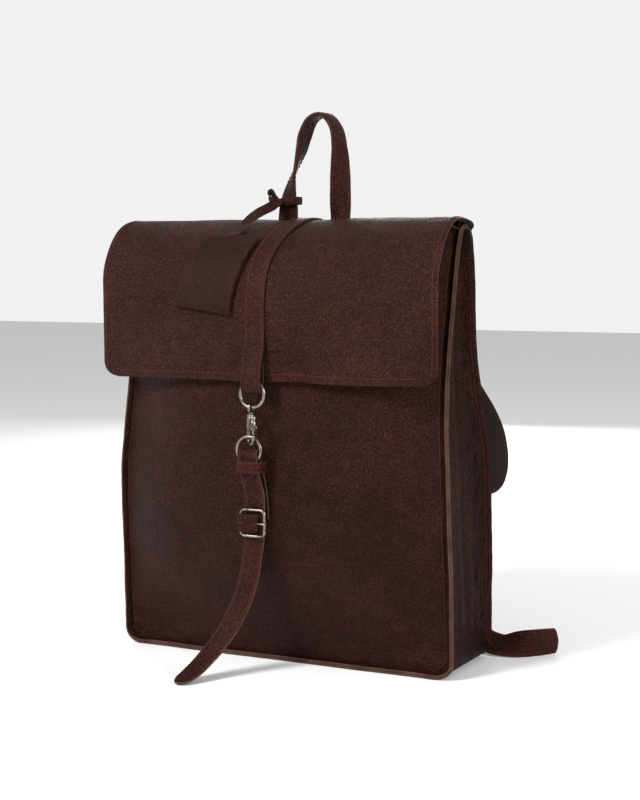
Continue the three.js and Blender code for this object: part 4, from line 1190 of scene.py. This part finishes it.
def add_tag():
    back = sheet("tag_back_leather", leaf_grid(31, 41, 3.0), 1.3, [TAG, NAP, EDGE])
    ride(back, "tag", "leather", "tag_back")
    card = sheet("tag_card_paper", leaf_grid(21, 31, 3.8, 0.08), 0.4, [CARD, CARD, CARD])
    ride(card, "tag", "card", "tag_card")
    front_grid = leaf_grid(31, 41, 5.4)
    front = sheet("tag_front_leather", front_grid, 1.3, [TAG, NAP, EDGE])
    ride(front, "tag", "leather", "tag_front")
    normal = grid_normals(front_grid)
    lines = []
    for j, i in ((2, 2), (2, -3), (-3, 2), (-3, -3)):
        inner_j, inner_i = j + (2 if j > 0 else -2), i + (3 if i > 0 else -3)
        points = np.stack([front_grid[j, i], front_grid[inner_j, inner_i]])
        points = np.linspace(points[0], points[1], 12)
        lines.append((points, np.tile(normal[j, i], (12, 1))))
    ride(stitch_mesh("tag_stitches", lines, 3.4, 2.6, 0.4), "tag", "leather")
    cuff = [[-28, -1.3], [-19.6, -1.9], [-11.2, -1.3], [-8.9, 0.4], [-8.7, 5], [-8.9, 9.6], [-11.2, 11.5],
            [-19.6, 11.9], [-28.2, 11.5], [-30.6, 9.6], [-30.8, 5], [-30.6, 0.4]]
    loop = spline([[a, b, 415.6 + 0.09 * (a + 20)] for a, b in cuff + cuff[:2]], 10)[0][:-10]
    ribbon = Ribbon([[*p] for p in loop[::4]], 3.4, [0, 0, 1], 0.8)
    ride(ribbon_mesh("tag_loop_leather", ribbon, 1.3, [STRAP, NAP, EDGE]), "handle", "leather", "tag_loop")
    bight = [[-24, -3.6, 413], [-29, -4.6, 419], [-32.5, -5, 424.5], [-34.5, -4.6, 420.5], [-31, -4.4, 414.6],
             [-27, -3.8, 411.6]]
    ribbon = Ribbon(bight, 3.4, [0.3, -0.5, 1], 0.8)
    ride(ribbon_mesh("tag_loop_bight", ribbon, 1.2, [STRAP, NAP, EDGE]), "handle", "leather")
    under, lift = flap_surface(-36, 0.515)
    rows = [[-25, -5.4, 416.2, 4.5, [0.9, 0, -0.4]], [-28, -14, 411, 4.8, [0.75, 0, -0.66]],
            [-31.5, -28, 405.6, 4.8, [0.8, 0, -0.6]], [-33.5, -42, 399.4, 4.6, [0.9, 0, -0.4]],
            [-34.5, -55, 392.4, 4.5, [1, 0, 0]], [*(under + lift * 5.2)]]
    ribbon = Ribbon(rows, 4.5, [1, 0, 0], 0.8)
    made = ribbon_mesh("tag_strap_leather", ribbon, 1.6, [STRAP, NAP, EDGE])
    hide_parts("tag_strap")
    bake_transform(made)
    holes = []
    for s in (16.0, 26.0, 36.0):
        centre, normal = ribbon.at(np.array([s - 0.6, s + 0.6]), 0.0, 0.72)
        holes.append((centre, normal))
    # the punched holes are flat dark discs: painted shade
    ride(punched("tag_strap_hole_painted_shade", holes), "tag", "leather")


# ---------------------------------------------------------------- shoulder straps


def plain_back(x, z):
    share = abs(x) / half_width(z)
    return float(back_seam(z) + back_bulge(z) * (1 - share**3))


def add_yoke():
    across, v = lattice(71, 21)
    x = -across * 78
    z = 322 + 26 * v
    y = back_seam(z) + back_bulge(z) * (1 - np.abs(x / half_width(z)) ** 3)
    grid = np.stack([x, y, z], axis=-1)
    made = sheet("strap_yoke_leather", grid, 2.0, [FLAP, NAP, EDGE], inset=-9.4)
    ride(made, "bag", "leather", "strap_yoke")
    normal = grid_normals(grid)
    raised = grid + normal * 9.5
    lines = [(np.repeat(raised[2], 3, axis=0)[::3], normal[2]), (raised[-3], normal[-3]),
             (raised[:, 3], normal[:, 3]), (raised[:, -4], normal[:, -4])]
    ride(stitch_mesh("strap_yoke_stitches", lines), "bag", "leather")


def add_shoulder(label, side):
    def place(rows):
        out = []
        for row in rows:
            new = [side * row[0], row[1], row[2]]
            if len(row) > 3:
                new.append(row[3])
            if len(row) > 4:
                new.append([side * row[4][0], row[4][1], row[4][2]])
            out.append(new)
        return out

    x, y, z = 100, 70, 104
    top_bar = z + 12 - 1.6
    bottom_bar = z - 12 + 1.6
    upper = [
        [50, plain_back(50, 346) + 3.4, 346, 19, [1, 0, 0]], [52, plain_back(52, 332) + 3.6, 332, 19],
        [56, plain_back(56, 316) + 6, 316, 19], [69, 47, 292, 19, [1, 0.1, 0]], [100, 67, 262, 19, [1, 0.5, 0]],
        [129, 81, 234, 18, [0.8, 0.8, 0]], [148, 87, 204, 16, [0.5, 1, 0]], [153, 89, 171, 15, [0.5, 1, 0.1]],
        [147, 89, 151, 15, [0.6, 1, 0.2]], [130, 85, 142, 14, [0.8, 0.7, 0.2]],
        [111, 78, 136, 13, [1, 0.2, 0.1]], [101, 74, 128.4, 12, [1, 0, 0]],
    ]
    ribbon = Ribbon(place(upper), 19, [1, 0, 0], 1.4)
    # The dark nap is on the same mirrored side of both straps. It is the strap's flesh side, and it was also chosen
    # to serve as painted shade on the face that shows where the strap loops behind the bag.
    faces = [NAP, STRAP, DARK_EDGE] if side > 0 else [STRAP, NAP, DARK_EDGE]
    made = ribbon_mesh(f"shoulder_strap_{label}_leather", ribbon, 4.0, faces, wobble=0.3)
    ride(made, "bag", "leather", f"shoulder_strap_{label}")
    stitches = edge_lines(ribbon, 4.0, inset=3.6, back=True, start=4)
    chape = [
        [x, y - 3.2, top_bar + 8], [x, y - 3.1, top_bar + 3], [x, y - 2.2, top_bar - 2.2], [x, y, top_bar - 3.1],
        [x, y + 2.2, top_bar - 2.2], [x, y + 3.1, top_bar + 1], [x, y + 2.2, top_bar + 5],
    ]
    for part, shift in (("a", -6.4), ("b", 6.4)):
        rows = [[a + shift, b, c] for a, b, c in chape]
        made = ribbon_mesh(f"rear_chape_{label}_{part}", Ribbon(place(rows), 4.5, [1, 0, 0], 0.7), 1.5, [STRAP, NAP, DARK_EDGE])
        if part == "a":
            ride(made, "bag", "leather", f"rear_chape_{label}")
        else:
            ride(made, "bag", "leather")
    line = frame_line(side * x, y, z, 15.5 - 1.6, 12 - 1.6, 4.0)
    made = assemble(f"rear_buckle_{label}_metal", [tube(line, 1.6, 14, closed=True)], METAL)
    ride(made, "bag", "metal", f"rear_buckle_{label}")
    angles = np.linspace(0, 2 * math.pi, 24, endpoint=False)
    hub = np.stack([np.full(24, side * x), y + 2.2 * np.cos(angles), top_bar + 2.2 * np.sin(angles)], axis=1)
    tongue = spline(place([[x, y + 0.6, top_bar - 2.1], [x, y + 1.2, top_bar - 8], [x, y + 2.2, bottom_bar + 4],
                           [x, y + 2.9, bottom_bar - 2.4]]), 8)[0]
    made = assemble(f"rear_prong_{label}_metal", [tube(hub, 0.55, 10, closed=True), tube(tongue, 0.95, 12)], METAL)
    ride(made, f"rear_prong_{label}", "metal", f"rear_prong_{label}")
    adjuster = [
        [142, plain_back(142, 8) + 1.9, 8, 12, [1, 0, 0]], [140, plain_back(140, 26) + 2.2, 26, 12],
        [124, plain_back(124, 52) + 3.6, 52, 12], [104, 64.2, 78, 12], [x, 65.6, z - 17, 12],
        [x, y - 3.7, z - 10.4, 12], [x, y - 1.6, z - 5, 12], [x, y + 3.2, z + 3, 12], [x, y + 5.6, z + 8, 12],
        [x, y + 6.8, z + 13, 12], [x, y + 11, z + 18, 12], [x + 1, y + 16.4, z + 19.6, 12],
        [x + 2, y + 21.6, z + 16, 12], [x + 3, y + 24, z + 6, 12], [x + 6, y + 26, z - 16, 12, [1, 0.1, 0]],
        [x + 14, y + 25, 56, 12, [1, 0.3, 0]], [x + 23, y + 18, 34, 12, [0.8, 0.6, 0.3]],
        [x + 37, y + 6, 17, 12, [0.5, 0.75, 0.45]], [x + 54, y - 4, 11.4, 12, [0.2, 0.8, 0.56]],
        [x + 72, y - 10, 9.6, 12, [0.15, 0.75, 0.64]], [x + 92, y - 5, 12, 12, [0, 0.4, 0.92]],
        [x + 107, y + 7, 12.8, 12, [0, 0.15, 0.99]], [x + 116, y + 18, 12.9, 11.5],
    ]
    ribbon = rounded_end(Ribbon(place(adjuster), 12, [1, 0, 0], 1.2), 4.0)
    made = ribbon_mesh(f"adjuster_{label}_leather", ribbon, 2.2, [STRAP, STRAP, EDGE], wobble=0.25)
    ride(made, "bag", "leather", f"adjuster_{label}")
    stitches += edge_lines(ribbon, 2.2, inset=2.6, back=True, start=4, stop=10)
    ride(stitch_mesh(f"shoulder_stitches_{label}", stitches), "bag", "leather")


def dress_inside():
    """Inner pieces that keep their CAD shape get their own material."""
    for node, material in (("base_board", BOARD), ("back_foam", FOAM), ("divider", LINING_FLAT),
                           ("lining_base", LINING_FLAT), ("divider_binding", NAP)):
        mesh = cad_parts[node].data
        mesh.materials.clear()
        mesh.materials.append(material)


add_camera()
add_studio()
add_front()
add_back()
add_gussets()
add_seams()
add_base()
add_flap()
add_flap_strap()
ring_mesh("upper_ring_metal", UPPER, "clasp_loop", "upper_ring")
add_hook()
ring_mesh("lower_ring_metal", LOWER, "lower_ring", "lower_ring")
add_lower_strap()
add_keeper()
add_buckle()
add_handle()
add_tag()
add_yoke()
add_shoulder("left", -1)
add_shoulder("right", 1)
dress_inside()
